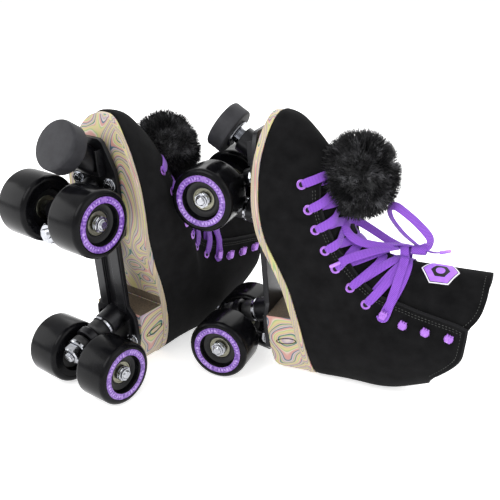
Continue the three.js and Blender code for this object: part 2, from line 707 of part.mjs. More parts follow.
// Lays a standing skate on its back: its forward points up and its sole faces sideways.
function laidDown(standing, { x, y, turn }) {
  standing.position.set(0, 0, -AXLE_Z);
  const lying = new THREE.Group().add(standing);
  const onBack = new THREE.Matrix4().makeBasis(
    new THREE.Vector3(0, 0, 1), new THREE.Vector3(0, -1, 0), new THREE.Vector3(1, 0, 0));
  const turned = new THREE.Matrix4().makeRotationZ(THREE.MathUtils.degToRad(turn));
  turned.multiply(new THREE.Matrix4().makeRotationY(-leanAngle())).multiply(onBack);
  lying.quaternion.setFromRotationMatrix(turned);
  lying.position.set(x, y, AXLE_Z);
  return lying;
}

const pair = new THREE.Group();
for (const pose of SKATES) pair.add(laidDown(skate(pose), pose));

// The origin is at the middle of the pair's footprint, on the floor.
const extent = new THREE.Box3().setFromObject(pair, true);
const middle = extent.getCenter(new THREE.Vector3());
pair.position.set(-middle.x, -middle.y, -extent.min.z);

export default pair;
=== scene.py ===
import bpy
import math
import random
import numpy as np
from mathutils import Matrix, Vector
from mathutils.bvhtree import BVHTree


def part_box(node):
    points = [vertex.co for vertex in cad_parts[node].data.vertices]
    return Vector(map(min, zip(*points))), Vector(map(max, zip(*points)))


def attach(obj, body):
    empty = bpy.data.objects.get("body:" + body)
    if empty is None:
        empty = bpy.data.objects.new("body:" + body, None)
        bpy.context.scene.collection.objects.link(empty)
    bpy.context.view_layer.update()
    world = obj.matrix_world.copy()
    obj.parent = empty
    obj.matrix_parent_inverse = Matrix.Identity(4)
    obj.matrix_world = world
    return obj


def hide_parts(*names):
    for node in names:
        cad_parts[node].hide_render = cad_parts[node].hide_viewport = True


# A pair of quad roller skates on their backs. Each skate's pieces are drawn in millimetres in
# its own standing frame: x forward from the rear axle, y to the skater's left, z up from the
# ground under the wheels. The same frame and profiles as in the CAD source.
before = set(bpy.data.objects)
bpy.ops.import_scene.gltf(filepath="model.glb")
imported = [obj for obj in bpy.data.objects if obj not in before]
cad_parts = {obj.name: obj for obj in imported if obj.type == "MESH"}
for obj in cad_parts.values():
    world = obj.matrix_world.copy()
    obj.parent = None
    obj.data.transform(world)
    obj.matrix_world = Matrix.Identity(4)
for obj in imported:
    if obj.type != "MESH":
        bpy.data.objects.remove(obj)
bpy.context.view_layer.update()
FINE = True

LEAN = 0.0891995  # lean of each skate on its back, radians
SKATES = {"left": (1, 52.7), "right": (-1, -22.5)}  # hand, turn in degrees
RIGHT_AXLE = Vector((-0.0128, -0.0231, 0.031))  # the right rear axle before the pair was centred
TRACK, WHEELBASE, AXLE_Z = 68.0, 156.5, 31.0
CAMERA_PLACE = Vector((0, -0.73815, 0.42358))  # fitted to the photo, before the pair was centred
CAMERA_TILT, CAMERA_LENS, SENSOR = 0.402, 55.24, 36
LIGHT_AIM = Vector((0, 0, 0.1))
LIGHTS = {  # place, size, power
    "key": ((-0.9, -0.9, 1.5), 1.1, 15),
    "fill": ((1.2, -0.8, 0.9), 1.2, 6),
    "rim": ((0.1, 1.1, 1.2), 1.4, 10),
    "side": ((-1.3, 0.1, 0.6), 0.8, 5),
}
FLOOR_REACH, FLOOR_Z = 4, -0.0006


def middle(node):
    low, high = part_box(node)
    return (low + high) / 2


def skate_matrix(side):
    turn = math.radians(SKATES[side][1])
    on_back = Matrix(((0, 0, 1, 0), (0, -1, 0, 0), (1, 0, 0, 0), (0, 0, 0, 1)))
    return (Matrix.Translation(middle(side + "_rear_axle")) @ Matrix.Rotation(turn, 4, "Z")
            @ Matrix.Rotation(-LEAN, 4, "Y") @ on_back
            @ Matrix.Translation((0, 0, -AXLE_Z / 1000)))


PLACE = {side: skate_matrix(side) for side in SKATES}


def linked(name, verts, faces):
    """A new object with its own mesh, in the scene."""
    mesh = bpy.data.meshes.new(name)
    mesh.from_pydata([tuple(map(float, v)) for v in verts], [], faces)
    mesh.update()
    made = bpy.data.objects.new(name, mesh)
    bpy.context.scene.collection.objects.link(made)
    return made


# ---- Camera, light and floor ----
def make_stage():
    scene = bpy.context.scene
    shift = middle("right_rear_axle") - RIGHT_AXLE
    camera = bpy.data.objects.new("camera", bpy.data.cameras.new("camera"))
    camera.location = CAMERA_PLACE + shift
    camera.rotation_euler = (math.pi / 2 - CAMERA_TILT, 0, 0)
    camera.data.lens = CAMERA_LENS
    camera.data.sensor_width = SENSOR
    scene.collection.objects.link(camera)
    scene.camera = camera
    for name, (place, size, power) in LIGHTS.items():
        lamp = bpy.data.lights.new(name, "AREA")
        lamp.size = size
        lamp.energy = power
        made = bpy.data.objects.new(name, lamp)
        made.location = place
        made.rotation_euler = (LIGHT_AIM - Vector(place)).to_track_quat("-Z", "Y").to_euler()
        scene.collection.objects.link(made)
    world = bpy.data.worlds.new("studio")
    world.use_nodes = True
    world.node_tree.nodes["Background"].inputs[0].default_value = (1, 1, 1, 1)
    world.node_tree.nodes["Background"].inputs[1].default_value = 1.0
    scene.world = world
    scene.view_settings.view_transform = "Standard"
    r = FLOOR_REACH
    floor = linked("floor", [(-r, -r, 0), (r, -r, 0), (r, r, 0), (-r, r, 0)], [(0, 1, 2, 3)])
    floor.location.z = FLOOR_Z
    pale = Nodes("floor", 0.9, Specular_IOR_Level=0.1, Emission_Strength=0.6,
                 Base_Color=(0.9, 0.9, 0.9, 1), Emission_Color=(1, 1, 1, 1))
    floor.data.materials.append(pale.material)


# ---- Materials ----
class Nodes:
    """A short hand for one material's node tree."""

    def __init__(self, name, rough, metal=0.0, **sockets):
        self.material = bpy.data.materials.new(name)
        self.material.use_nodes = True
        self.tree = self.material.node_tree
        self.shader = self.tree.nodes["Principled BSDF"]
        self.shader.inputs["Roughness"].default_value = rough
        self.shader.inputs["Metallic"].default_value = metal
        for key, value in sockets.items():
            self.shader.inputs[key.replace("_", " ")].default_value = value
        self.coord = self.tree.nodes.new("ShaderNodeTexCoord")

    def node(self, kind, **sockets):
        made = self.tree.nodes.new("ShaderNode" + kind)
        for key, value in sockets.items():
            made.inputs[key.replace("_", " ")].default_value = value
        return made

    def link(self, a, b):
        self.tree.links.new(a, b)

    def mapped(self, scale, source="Object"):
        node = self.node("Mapping", Scale=scale)
        self.link(self.coord.outputs[source], node.inputs["Vector"])
        return node.outputs["Vector"]

    def noise(self, scale, detail=3.0, vector=None, rough=0.55, distortion=0.0):
        node = self.node("TexNoise", Scale=scale, Detail=detail, Roughness=rough,
                         Distortion=distortion)
        self.link(vector or self.coord.outputs["Object"], node.inputs["Vector"])
        return node.outputs["Fac"]

    def wave(self, scale, vector, direction):
        node = self.node("TexWave", Scale=scale)
        node.bands_direction = direction
        self.link(vector, node.inputs["Vector"])
        return node.outputs["Fac"]

    def voronoi(self, scale):
        node = self.node("TexVoronoi", Scale=scale)
        self.link(self.coord.outputs["Object"], node.inputs["Vector"])
        return node.outputs["Distance"]

    def math(self, kind, *values):
        node = self.node("Math")
        node.operation = kind
        for socket, value in zip(node.inputs, values):
            if isinstance(value, (int, float)):
                socket.default_value = value
            else:
                self.link(value, socket)
        return node.outputs[0]

    def ramp(self, fac, stops):
        node = self.node("ValToRGB")
        ramp = node.color_ramp
        while len(ramp.elements) < len(stops):
            ramp.elements.new(0.5)
        for element, (place, color) in zip(ramp.elements, stops):
            element.position = place
            element.color = (*color, 1)
        self.link(fac, node.inputs["Fac"])
        return node.outputs["Color"]

    def color(self, socket):
        self.link(socket, self.shader.inputs["Base Color"])

    def rough(self, fac, low, high):
        node = self.node("MapRange", To_Min=low, To_Max=high)
        self.link(fac, node.inputs["Value"])
        self.link(node.outputs["Result"], self.shader.inputs["Roughness"])

    def bump(self, height, strength, distance):
        node = self.node("Bump", Strength=strength, Distance=distance)
        self.link(height, node.inputs["Height"])
        self.link(node.outputs["Normal"], self.shader.inputs["Normal"])


def napped(name, low, high, fine=2600):
    m = Nodes(name, 0.9, Sheen_Weight=0.02, Sheen_Roughness=0.5, Specular_IOR_Level=0.05)
    mottle = m.noise(70, 4)
    m.color(m.ramp(mottle, [(0.3, low), (0.72, high)]))
    nap = m.noise(fine, 3, rough=0.7)
    m.bump(m.math("ADD", nap, m.math("MULTIPLY", mottle, 0.6)), 0.35, 0.0003)
    m.rough(mottle, 0.82, 0.97)
    return m.material


def woven(name, low, high):
    m = Nodes(name, 0.92, Sheen_Weight=0.04, Specular_IOR_Level=0.12)
    across = m.wave(620, m.mapped((1, 0.35, 0.2)), "X")
    along = m.wave(620, m.mapped((0.2, 0.35, 1)), "Z")
    weave = m.math("MULTIPLY", across, along)
    m.color(m.ramp(weave, [(0.1, low), (0.8, high)]))
    m.bump(weave, 0.5, 0.0003)
    return m.material


def layered(name, scale, bands, offset):
    """Marbled sheets: the contour lines of a slow noise, one coloured band after another."""
    m = Nodes(name, 0.5, Coat_Weight=0.1, Coat_Roughness=0.35)
    flow = m.noise(1.0, 1.2, m.mapped(scale), 0.4)
    wobble = m.math("MULTIPLY", m.noise(160, 2), 0.05)
    level = m.math("ADD", m.math("MULTIPLY", flow, bands), wobble)
    turn = m.math("FRACT", m.math("ADD", level, offset))
    cream, lemon = (0.50, 0.38, 0.22), (0.46, 0.44, 0.17)
    pink, lilac = (0.47, 0.23, 0.20), (0.30, 0.23, 0.33)
    green, pale = (0.22, 0.34, 0.15), (0.55, 0.47, 0.37)
    teal, slate = (0.03, 0.10, 0.11), (0.10, 0.14, 0.22)
    m.color(m.ramp(turn, [
        (0.0, cream), (0.10, lemon), (0.17, green), (0.21, pale), (0.30, pink), (0.40, pink),
        (0.43, slate), (0.46, teal), (0.50, slate), (0.53, pale), (0.61, lilac), (0.69, cream),
        (0.76, green), (0.79, teal), (0.83, teal), (0.86, pale), (0.92, pink), (0.97, lemon),
    ]))
    m.rough(flow, 0.42, 0.6)
    m.bump(m.noise(900, 3), 0.12, 0.0002)
    return m.material


def grained():
    m = Nodes("sole_board", 0.75)
    grain = m.noise(1.0, 4, m.mapped((60, 420, 900)), 0.6, 0.4)
    m.color(m.ramp(grain, [(0.3, (0.045, 0.032, 0.022)), (0.7, (0.13, 0.095, 0.06))]))
    m.bump(grain, 0.3, 0.0004)
    return m.material


def metal(name, color, rough, spread, wear=None):
    m = Nodes(name, rough, 1.0 if wear is None else 0.55)
    grain = m.noise(300, 4)
    dark = tuple(v * 0.82 for v in color)
    m.color(m.ramp(grain, [(0.35, dark), (0.65, color)] if wear is None
                   else [(0.35, dark), (0.62, color), (0.8, wear)]))
    m.rough(grain, rough - spread, rough + spread)
    m.bump(m.noise(1800, 2), 0.06, 0.0001)
    return m.material


def polymer(name, low, high, rough, coat=0.0, fine=1400, strength=0.1, shine=0.3):
    m = Nodes(name, rough, Coat_Weight=coat, Coat_Roughness=0.12, Specular_IOR_Level=shine)
    grain = m.noise(120, 4)
    m.color(m.ramp(grain, [(0.35, low), (0.68, high)]))
    m.rough(grain, rough - 0.05, rough + 0.07)
    m.bump(m.noise(fine, 3), strength, 0.0002)
    return m.material


def printed():
    m = Nodes("ring_print", 0.35, Coat_Weight=0.35, Coat_Roughness=0.15)
    flecks = m.voronoi(420)
    cloud = m.noise(240, 3)
    both = m.math("ADD", m.math("MULTIPLY", flecks, 0.7), m.math("MULTIPLY", cloud, 0.6))
    m.color(m.ramp(both, [(0.30, (0.045, 0.010, 0.15)), (0.55, (0.10, 0.025, 0.27)),
                          (0.80, (0.24, 0.12, 0.44))]))
    m.bump(flecks, 0.1, 0.0002)
    return m.material


def lace_cloth():
    m = Nodes("lace_weave", 0.78, Sheen_Weight=0.25, Sheen_Roughness=0.4)
    ribs = m.wave(0.72, m.mapped((1, 1, 1), "UV"), "Y")
    picks = m.wave(0.42, m.mapped((1, 0.6, 1), "UV"), "DIAGONAL")
    weave = m.math("MULTIPLY", m.math("ADD", ribs, 0.35), m.math("ADD", picks, 0.4))
    cloud = m.math("MULTIPLY", m.noise(90, 3), 0.35)
    # The darkest stop, in the weave's hollows, is partly painted shade; the rest is the weave's own
    # pattern and random tone.
    m.color(m.ramp(m.math("ADD", weave, cloud), [
        (0.15, (0.055, 0.012, 0.20)), (0.55, (0.175, 0.042, 0.47)), (1.0, (0.31, 0.10, 0.66))]))
    m.bump(weave, 0.6, 0.0004)
    return m.material


def fur_with_painted_glints():
    m = Nodes("fur_with_painted_glints", 0.45, Sheen_Weight=0.05, Specular_IOR_Level=0.3)
    tufts = m.noise(75, 3)
    fine = m.noise(900, 2)
    both = m.math("ADD", m.math("MULTIPLY", tufts, 0.75), m.math("MULTIPLY", fine, 0.25))
    # The light grey top of the ramp is a painted highlight: grey glints in random patches on the
    # black fur.
    m.color(m.ramp(both, [(0.4, (0.002, 0.002, 0.003)), (0.54, (0.008, 0.008, 0.009)),
                          (0.64, (0.13, 0.13, 0.14))]))
    return m.material


NAP = ((0.0035, 0.0035, 0.0038), (0.0085, 0.0085, 0.0090))
MAT = {
    "suede": napped("boot_nap", *NAP),
    "tongue": napped("tongue_nap", *NAP, 3000),
    "lining": woven("lining_weave", (0.008, 0.008, 0.009), (0.03, 0.03, 0.032)),
    "binding": woven("binding_weave", (0.006, 0.006, 0.007), (0.02, 0.02, 0.021)),
    "thread": polymer("thread", (0.030, 0.032, 0.030), (0.075, 0.078, 0.072), 0.7, fine=4000),
    "sole": layered("sole_layers", (3, 26, 75), 14, 0.3),
    "heel": layered("heel_layers", (17, 24, 15), 15, 0.1),
    "board": grained(),
    "plate": metal("plate_black", (0.008, 0.008, 0.010), 0.30, 0.07, (0.022, 0.022, 0.026)),
    "chrome": metal("chrome", (0.42, 0.43, 0.46), 0.16, 0.05),
    "steel": metal("bearing_steel", (0.24, 0.235, 0.18), 0.30, 0.08),
    # Near-black: painted shade as a disc in each eyelet's hole, and the dark oval line on each side
    # of the heel.
    "dark": polymer("painted_hole_shade_and_heel_line", (0.002, 0.002, 0.002), (0.005, 0.005, 0.005), 0.8),
    "cushion": polymer("cushion_rubber", (0.008, 0.008, 0.009), (0.018, 0.018, 0.019), 0.45),
    "wheel": polymer("wheel_urethane", (0.002, 0.002, 0.0025), (0.004, 0.004, 0.005), 0.19,
                     shine=0.1),
    "hub": polymer("hub_black", (0.003, 0.003, 0.0035), (0.008, 0.008, 0.009), 0.38),
    "print": printed(),
    "mark": polymer("ring_marks", (0.30, 0.18, 0.52), (0.46, 0.33, 0.68), 0.4),
    "stop": polymer("stop_rubber", (0.016, 0.016, 0.019), (0.026, 0.026, 0.030), 0.6, fine=2200,
                    strength=0.25, shine=0.25),
    "lace": lace_cloth(),
    "eyelet": metal("eyelet_violet", (0.34, 0.14, 0.58), 0.28, 0.08, (0.52, 0.36, 0.72)),
    "fur": fur_with_painted_glints(),
    "violet": polymer("badge_violet", (0.34, 0.13, 0.70), (0.44, 0.19, 0.82), 0.5),
    "white": polymer("badge_white", (0.70, 0.68, 0.75), (0.82, 0.80, 0.86), 0.5),
    "badge_black": polymer("badge_black", (0.005, 0.005, 0.006), (0.012, 0.012, 0.013), 0.5),
    "aglet": polymer("aglet_film", (0.35, 0.14, 0.70), (0.55, 0.28, 0.85), 0.25, 0.5),
}

make_stage()


# ---- Mesh tools: all take millimetres in a skate's standing frame ----
class Shape:
    """Vertices and faces gathered for one piece, with a material number for each face."""

    def __init__(self):
        self.verts, self.faces, self.kind, self.uv = [], [], [], {}

    def add(self, verts, faces, kind=0, uv=None):
        base = len(self.verts)
        self.verts += [tuple(map(float, v)) for v in verts]
        self.faces += [tuple(base + i for i in f) for f in faces]
        self.kind += [kind] * len(faces)
        if uv is not None:
            self.uv.update({base + i: u for i, u in enumerate(uv)})
        return self

    def turn(self, *profile_and_place):
        return self.add(*turned(*profile_and_place))


def piece(name, side, body, shape, mats, nodes=(), sharp=38, bevel=0.0):
    made = linked(f"{side}_{name}", [[c / 1000 for c in v] for v in shape.verts], shape.faces)
    mesh = made.data
    for key in [mats] if isinstance(mats, str) else mats:
        mesh.materials.append(MAT[key])
    mesh.polygons.foreach_set("material_index", shape.kind)
    if shape.uv:
        layer = mesh.uv_layers.new(name="weave")
        for loop in mesh.loops:
            layer.data[loop.index].uv = shape.uv.get(loop.vertex_index, (0, 0))
    mesh.polygons.foreach_set("use_smooth", [True] * len(mesh.polygons))
    mesh.update()
    mesh.set_sharp_from_angle(angle=math.radians(sharp))
    made.matrix_world = PLACE[side]
    if bevel:
        soften = made.modifiers.new("soften", "BEVEL")
        soften.width = bevel / 1000
        soften.segments = 3
        soften.limit_method = "ANGLE"
        soften.angle_limit = math.radians(40)
        soften.harden_normals = True
    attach(made, f"{side}_{body}")
    if nodes:
        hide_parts(*[f"{side}_{n}" for n in nodes])
    return made


def basis(axis):
    w = Vector(axis).normalized()
    u = Vector((0, 1, 0))
    if abs(u.dot(w)) > 0.9:
        u = Vector((1, 0, 0))
    u = (u - w * u.dot(w)).normalized()
    return u, w.cross(u), w


def unit(rows, guard=0.0):
    return rows / (np.linalg.norm(rows, axis=-1)[..., None] + guard)


def ring_faces(rows, around, closed=False):
    """Quads between rings of points, each ring closed on itself."""
    faces = []
    for r in range(rows if closed else rows - 1):
        for c in range(around):
            r1, c1 = (r + 1) % rows, (c + 1) % around
            faces.append((r * around + c, r1 * around + c, r1 * around + c1, r * around + c1))
    return faces


def capped_faces(rows, around, closed=False):
    """The same with both ends capped, unless the last ring meets the first."""
    faces = ring_faces(rows, around, closed)
    if not closed:
        last = (rows - 1) * around
        faces += [tuple(range(around)), tuple(range(last + around - 1, last - 1, -1))]
    return faces


def bar_faces(n):
    """Faces between an outline of n points and the copy that follows it."""
    return [tuple(range(n)), tuple(range(2 * n - 1, n - 1, -1))] + [
        (i, n + i, n + (i + 1) % n, (i + 1) % n) for i in range(n)]


def turned(profile, origin, axis, around=72, closed=True):
    """A turned solid: a closed loop of (radius, along), or an open run that starts and ends at 0."""
    u, v, w = basis(axis)
    origin = Vector(origin)
    verts, faces, rings = [], [], []
    for radius, along in profile:
        first = len(verts)
        if radius < 1e-6:
            verts.append(origin + w * along)
        else:
            for i in range(around):
                a = 2 * math.pi * i / around
                verts.append(origin + (u * math.cos(a) + v * math.sin(a)) * radius + w * along)
        rings.append(range(first, len(verts)))
    for ra, rb in zip(rings, rings[1:] + (rings[:1] if closed else [])):
        if len(ra) == 1 and len(rb) == 1:
            continue
        for i in range(around):
            j = (i + 1) % around
            if len(ra) == 1:
                faces.append((ra[0], rb[j], rb[i]))
            elif len(rb) == 1:
                faces.append((ra[i], ra[j], rb[0]))
            else:
                faces.append((ra[i], ra[j], rb[j], rb[i]))
    return verts, faces


def thread(crest, root, start, stop, pitch, half):
    """The teeth of a threaded rod from start towards stop, as (radius, along)."""
    points = []
    while (stop - start) * pitch > 0:
        points += [(crest, start), (root, start + half)]
        start += pitch
    return points


def prism(points, origin, axis, height):
    u, v, w = basis(axis)
    origin = Vector(origin)
    n = len(points)
    low = [origin + u * a + v * b for a, b in points]
    verts = low + [p + w * height for p in low]
    faces = [tuple(range(n - 1, -1, -1)), tuple(range(n, 2 * n))]
    faces += [(i, (i + 1) % n, n + (i + 1) % n, n + i) for i in range(n)]
    return verts, faces


def hexagon(width):
    r = width / 2 / math.cos(math.pi / 6)
    return [(r * math.cos(math.pi / 3 * i), r * math.sin(math.pi / 3 * i)) for i in range(6)]


def block(x0, x1, y0, y1, z0, z1):
    verts = [(x, y, z) for z in (z0, z1) for y in (y0, y1) for x in (x0, x1)]
    faces = [(0, 2, 3, 1), (4, 5, 7, 6), (0, 1, 5, 4), (2, 6, 7, 3), (0, 4, 6, 2), (1, 3, 7, 5)]
    return verts, faces


def spline(points, t):
    """The uniform Catmull-Rom curve through the points, t from 0 to 1."""
    points = np.asarray(points, float)
    n = len(points)
    p = np.clip(np.atleast_1d(np.asarray(t, float)), 0, 1) * (n - 1)
    k = np.minimum(np.floor(p).astype(int), n - 1)
    w = (p - k)[:, None]
    a, b = points[np.maximum(k - 1, 0)], points[k]
    c, d = points[np.minimum(k + 1, n - 1)], points[np.minimum(k + 2, n - 1)]
    v0, v1 = (c - a) / 2, (d - b) / 2
    return (2 * b - 2 * c + v0 + v1) * w ** 3 + (3 * c - 3 * b - 2 * v0 - v1) * w ** 2 + v0 * w + b


def smoothed(points, count):
    return spline(points, np.linspace(0, 1, count))


def headings(path, closed):
    return np.roll(path, -1, 0) - np.roll(path, 1, 0) if closed else np.gradient(path, axis=0)


def distances(path):
    return np.concatenate([[0], np.cumsum(np.linalg.norm(np.diff(path, axis=0), axis=1))])


def ribbon(path, normals, width, thick, shape, closed=False):
    """A flat strap along a path with rounded edges and UVs in millimetres."""
    path, normals = np.asarray(path, float), np.asarray(normals, float)
    n, sides = len(path), 10
    width = np.broadcast_to(np.asarray(width, float), (n,))
    way = unit(headings(path, closed))
    across = unit(np.cross(way, normals), 1e-9)
    up = np.cross(across, way)
    run = distances(path)
    angles = 2 * np.pi * np.arange(sides) / sides
    ca, sa = np.cos(angles), np.sin(angles)
    section = list(zip(np.sign(ca) * np.abs(ca) ** 0.35, np.sign(sa) * np.abs(sa) ** 0.6))
    verts, uv = [], []
    for i in range(n):
        for a, b in section:
            verts.append(path[i] + across[i] * a * width[i] / 2 + up[i] * b * thick / 2)
            uv.append((run[i], a * width[i] / 2 + 10))
    return shape.add(verts, capped_faces(n, sides, closed), 0, uv)


def tube(path, radius, shape, kind=0, sides=8, closed=False):
    path = np.asarray(path, float)
    n = len(path)
    way = unit(headings(path, closed), 1e-9)
    up = np.cross(way[0], (0.3, 0.5, 0.81))
    verts = []
    for i, r in enumerate(np.broadcast_to(radius, (n,))):
        up = up - way[i] * np.dot(up, way[i])
        up /= np.linalg.norm(up)
        side = np.cross(way[i], up)
        for k in range(sides):
            a = 2 * math.pi * k / sides
            verts.append(path[i] + (up * math.cos(a) + side * math.sin(a)) * r)
    return shape.add(verts, capped_faces(n, sides, closed), kind)


# ---- The boot's profiles, as in the CAD source ----
SOLE_TOP = [(-46, 120.5), (-25, 118.5), (18, 113.5), (57, 106), (81, 98.5), (100, 92), (115, 87.3),
            (130, 85.2), (150, 84.6), (170, 85.6), (190, 87.4), (203, 89.7), (216, 92.5), (236, 99)]
BACK_LINE = [(-37.5, 120), (-39, 127), (-40.2, 136), (-41.3, 146), (-42.3, 157), (-43.3, 168),
             (-44.2, 178), (-44.3, 190), (-42.5, 203), (-37.5, 220), (-31, 240), (-25, 262)]
FRONT_LINE = [(229.5, 98), (231.5, 112), (225, 133), (203, 148), (175, 153), (148, 154.5),
              (124, 160.5), (107, 174.5), (97, 195), (92.5, 218), (90, 243), (86, 289)]
# Half widths: of the foot from heel to toe on each side, and of the shaft from sole to top.
LATERAL = np.array([31, 34, 35.5, 37.5, 46, 50, 47, 36])[:, None]
MEDIAL = np.array([31, 33.5, 33, 33, 39, 45, 45, 38])[:, None]
SHAFT = np.array([42, 41, 36, 35.5, 37.5])[:, None]
FACING_EDGE = [(178, 170), (174, 143), (160, 140), (142, 143), (125, 149.5), (106, 157.5),
               (89, 167), (75, 178), (65, 192), (60, 209), (55, 225), (51, 241), (46, 260), (42, 270)]
CUFF_EDGE = [(42, 270), (28, 268), (12, 264.5), (0, 256), (-12, 244), (-18, 238), (-29, 233),
             (-60, 229)]
TONGUE_EDGE = [(50, 206), (44, 225), (38, 245), (37, 262), (46, 275), (62, 284), (86, 287.5),
               (120, 290)]
EYELETS = [(171, 125), (148.5, 131), (130, 137), (110.4, 145), (93, 153.7), (73, 165.3),
           (57.4, 179.5)]
HOOKS = [(47.7, 195.5), (40.4, 213.5), (36.4, 234), (33, 255)]
SOLE_THICK, WALL = 6.8, 3.2
TONGUE_IN, TONGUE_THICK = 3.6, 5.4  # the tongue's surface below the boot's, and its thickness
SEAMS, CUFF_SEAM = (3.4, 5.6), 4.0  # rows of stitches in from the edges
SOLE_CURVE = smoothed(SOLE_TOP, 81)
PLATE_TOP = SOLE_CURVE[:, 1].min() - SOLE_THICK - 0.3
PLATE_THICK = 4.5


def sole_top(x):
    return np.interp(x, SOLE_CURVE[:, 0], SOLE_CURVE[:, 1])


def smoothstep(x, low, high):
    t = np.clip((x - low) / (high - low), 0, 1)
    return t * t * (3 - 2 * t)


def boot_points(level, angle, hand):
    """Points of the boot's outer surface: level 0 is the sole line, angle 0 the front."""
    level, angle = np.broadcast_arrays(np.asarray(level, float), np.asarray(angle, float))
    shape = level.shape
    level, angle = level.ravel(), angle.ravel()
    back, front = spline(BACK_LINE, level), spline(FRONT_LINE, level)
    along = (1 + np.cos(angle)) / 2
    x = back[:, 0] + (front[:, 0] - back[:, 0]) * along
    straight = back[:, 1] + (front[:, 1] - back[:, 1]) * along
    sag = np.maximum(0, 1 - level / 0.42) ** 1.5
    z = straight + (sole_top(x) - straight) * sag
    lateral = np.sin(angle) * hand > 0
    foot = np.where(lateral, spline(LATERAL, along)[:, 0], spline(MEDIAL, along)[:, 0])
    rise = smoothstep(level, 0.05, 0.6)
    width = foot + (spline(SHAFT, level)[:, 0] - foot) * rise
    blunt = 2.65 - 0.6 * smoothstep(level, 0.05, 0.35)
    rounded = (1 - np.abs(2 * along - 1) ** blunt) ** (1 / blunt)
    y = np.sign(np.sin(angle)) * width * rounded
    return np.stack([x, y, z], -1).reshape(*shape, 3)


def boot_normals(level, angle, hand):
    e = 0.004
    v = np.clip(level, e, 1 - e)
    up = boot_points(v + e, angle, hand) - boot_points(v - e, angle, hand)
    around = boot_points(v, angle + e, hand) - boot_points(v, angle - e, hand)
    return unit(np.cross(around, up), 1e-12)


def skin(inset, hand, levels, around, drop=0.0):
    """Rings of the boot's surface moved inwards, from a skirt under the sole line to the top."""
    level, angle = np.meshgrid(np.linspace(0, 1, levels), 2 * np.pi * np.arange(around) / around,
                               indexing="ij")
    points = boot_points(level, angle, hand) - boot_normals(level, angle, hand) * inset
    if drop:
        skirt = points[0].copy()
        skirt[:, 2] -= drop
        points = np.concatenate([skirt[None], points])
    return points


def shell(outer_inset, inner_inset, hand, levels, around):
    """A closed wall between two insets, open at the top and bottom but for its rims."""
    outer = skin(outer_inset, hand, levels, around, 12)
    inner = skin(inner_inset, hand, levels, around, 12)
    loops = np.concatenate([outer, inner[::-1]])
    return loops.reshape(-1, 3), ring_faces(len(loops), around, True)


def slab(points, low=-95, high=95):
    """A side-view outline made solid across the skate."""
    return [(x, y, z) for y in (low, high) for x, z in points], bar_faces(len(points))


def carved(solid, cutter, kind="INTERSECT"):
    """The faces and vertices of one closed mesh cut by another."""
    a, b = linked("carve_a", *outwards(*solid)), linked("carve_b", *outwards(*cutter))
    cut = a.modifiers.new("cut", "BOOLEAN")
    cut.operation, cut.object, cut.solver = kind, b, "EXACT"
    cut.use_self = True
    mesh = a.evaluated_get(bpy.context.evaluated_depsgraph_get()).to_mesh()
    verts = [tuple(v.co) for v in mesh.vertices]
    faces = [tuple(p.vertices) for p in mesh.polygons]
    for o in (a, b):
        bpy.data.objects.remove(o)
    return verts, faces


def outwards(verts, faces):
    """The same solid with its faces wound to point outwards."""
    points = np.array([tuple(v) for v in verts], float)
    volume = sum(np.dot(points[f[0]], np.cross(points[f[k]], points[f[k + 1]]))
                 for f in faces for k in range(1, len(f) - 1))
    return verts, faces if volume > 0 else [tuple(reversed(f)) for f in faces]


class Skin:
    """The boot's full outer surface, to lay eyelets, stitches and laces on."""

    def __init__(self, hand):
        points = skin(0, hand, 90, 160)
        faces = ring_faces(90, 160)
        self.tree = BVHTree.FromPolygons([Vector(p) for p in points.reshape(-1, 3)], faces)

    def side(self, x, z, where):
        """The surface point and outward normal at (x, z) on the side that where points to."""
        way = Vector((0, -where, 0))
        point, normal, _, _ = self.tree.ray_cast(Vector((x, 120 * where, z)), way)
        if point is None:
            point, normal, _, _ = self.tree.find_nearest(Vector((x, 5 * where, z)))
        if normal.y * where < 0 and abs(normal.y) > 0.05:
            normal = -normal
        if abs(normal.y) <= 0.05 and normal.z < 0:
            normal = -normal
        return np.array(point), np.array(normal)

    def out(self, origin, way):
        """Where a ray from inside the boot leaves it, and the outward normal there."""
        point, normal, _, _ = self.tree.ray_cast(Vector(origin), Vector(way))
        if point is None:
            point, normal, _, _ = self.tree.find_nearest(Vector(origin) + Vector(way) * 30)
        if normal.dot(Vector(way)) < 0:
            normal = -normal
        return np.array(point), np.array(normal)

    def inside(self, point):
        hit = self.tree.ray_cast(Vector(point), Vector((0.02, 1, 0.01)))[0]
        back = self.tree.ray_cast(Vector(point), Vector((0.02, -1, 0.01)))[0]
        return hit is not None and back is not None


# ---- Boot ----
def region_outline():
    xs = np.linspace(-60, 250, 120)
    sole = [(x, sole_top(x) + 0.1) for x in xs]
    facing = smoothed(FACING_EDGE, 90)[4:]
    cuff = smoothed(CUFF_EDGE, 60)[1:]
    return sole + [(260, 176), (178, 176)] + [tuple(p) for p in facing] + [tuple(p) for p in cuff]


def make_upper(side, hand, surface):
    levels, around = (70, 132) if FINE else (36, 72)
    verts, faces = carved(shell(0, WALL, hand, levels, around), slab(region_outline()))
    points = np.array(verts)
    shape = Shape().add(verts, faces)
    for k, f in enumerate(faces):
        depth = surface.tree.find_nearest(Vector(points[list(f)].mean(0)))[3]
        shape.kind[k] = 1 if depth > WALL * 0.6 else 0
    piece("upper", side, "boot", shape, ["suede", "lining"], ["boot_upper"], 50)
    rolled_edge(side, surface)
    stitches(side, surface)


def side_run(points, surface, where, lift=0.0):
    laid = [surface.side(x, z, where) for x, z in points]
    return np.array([p + n * lift for p, n in laid])


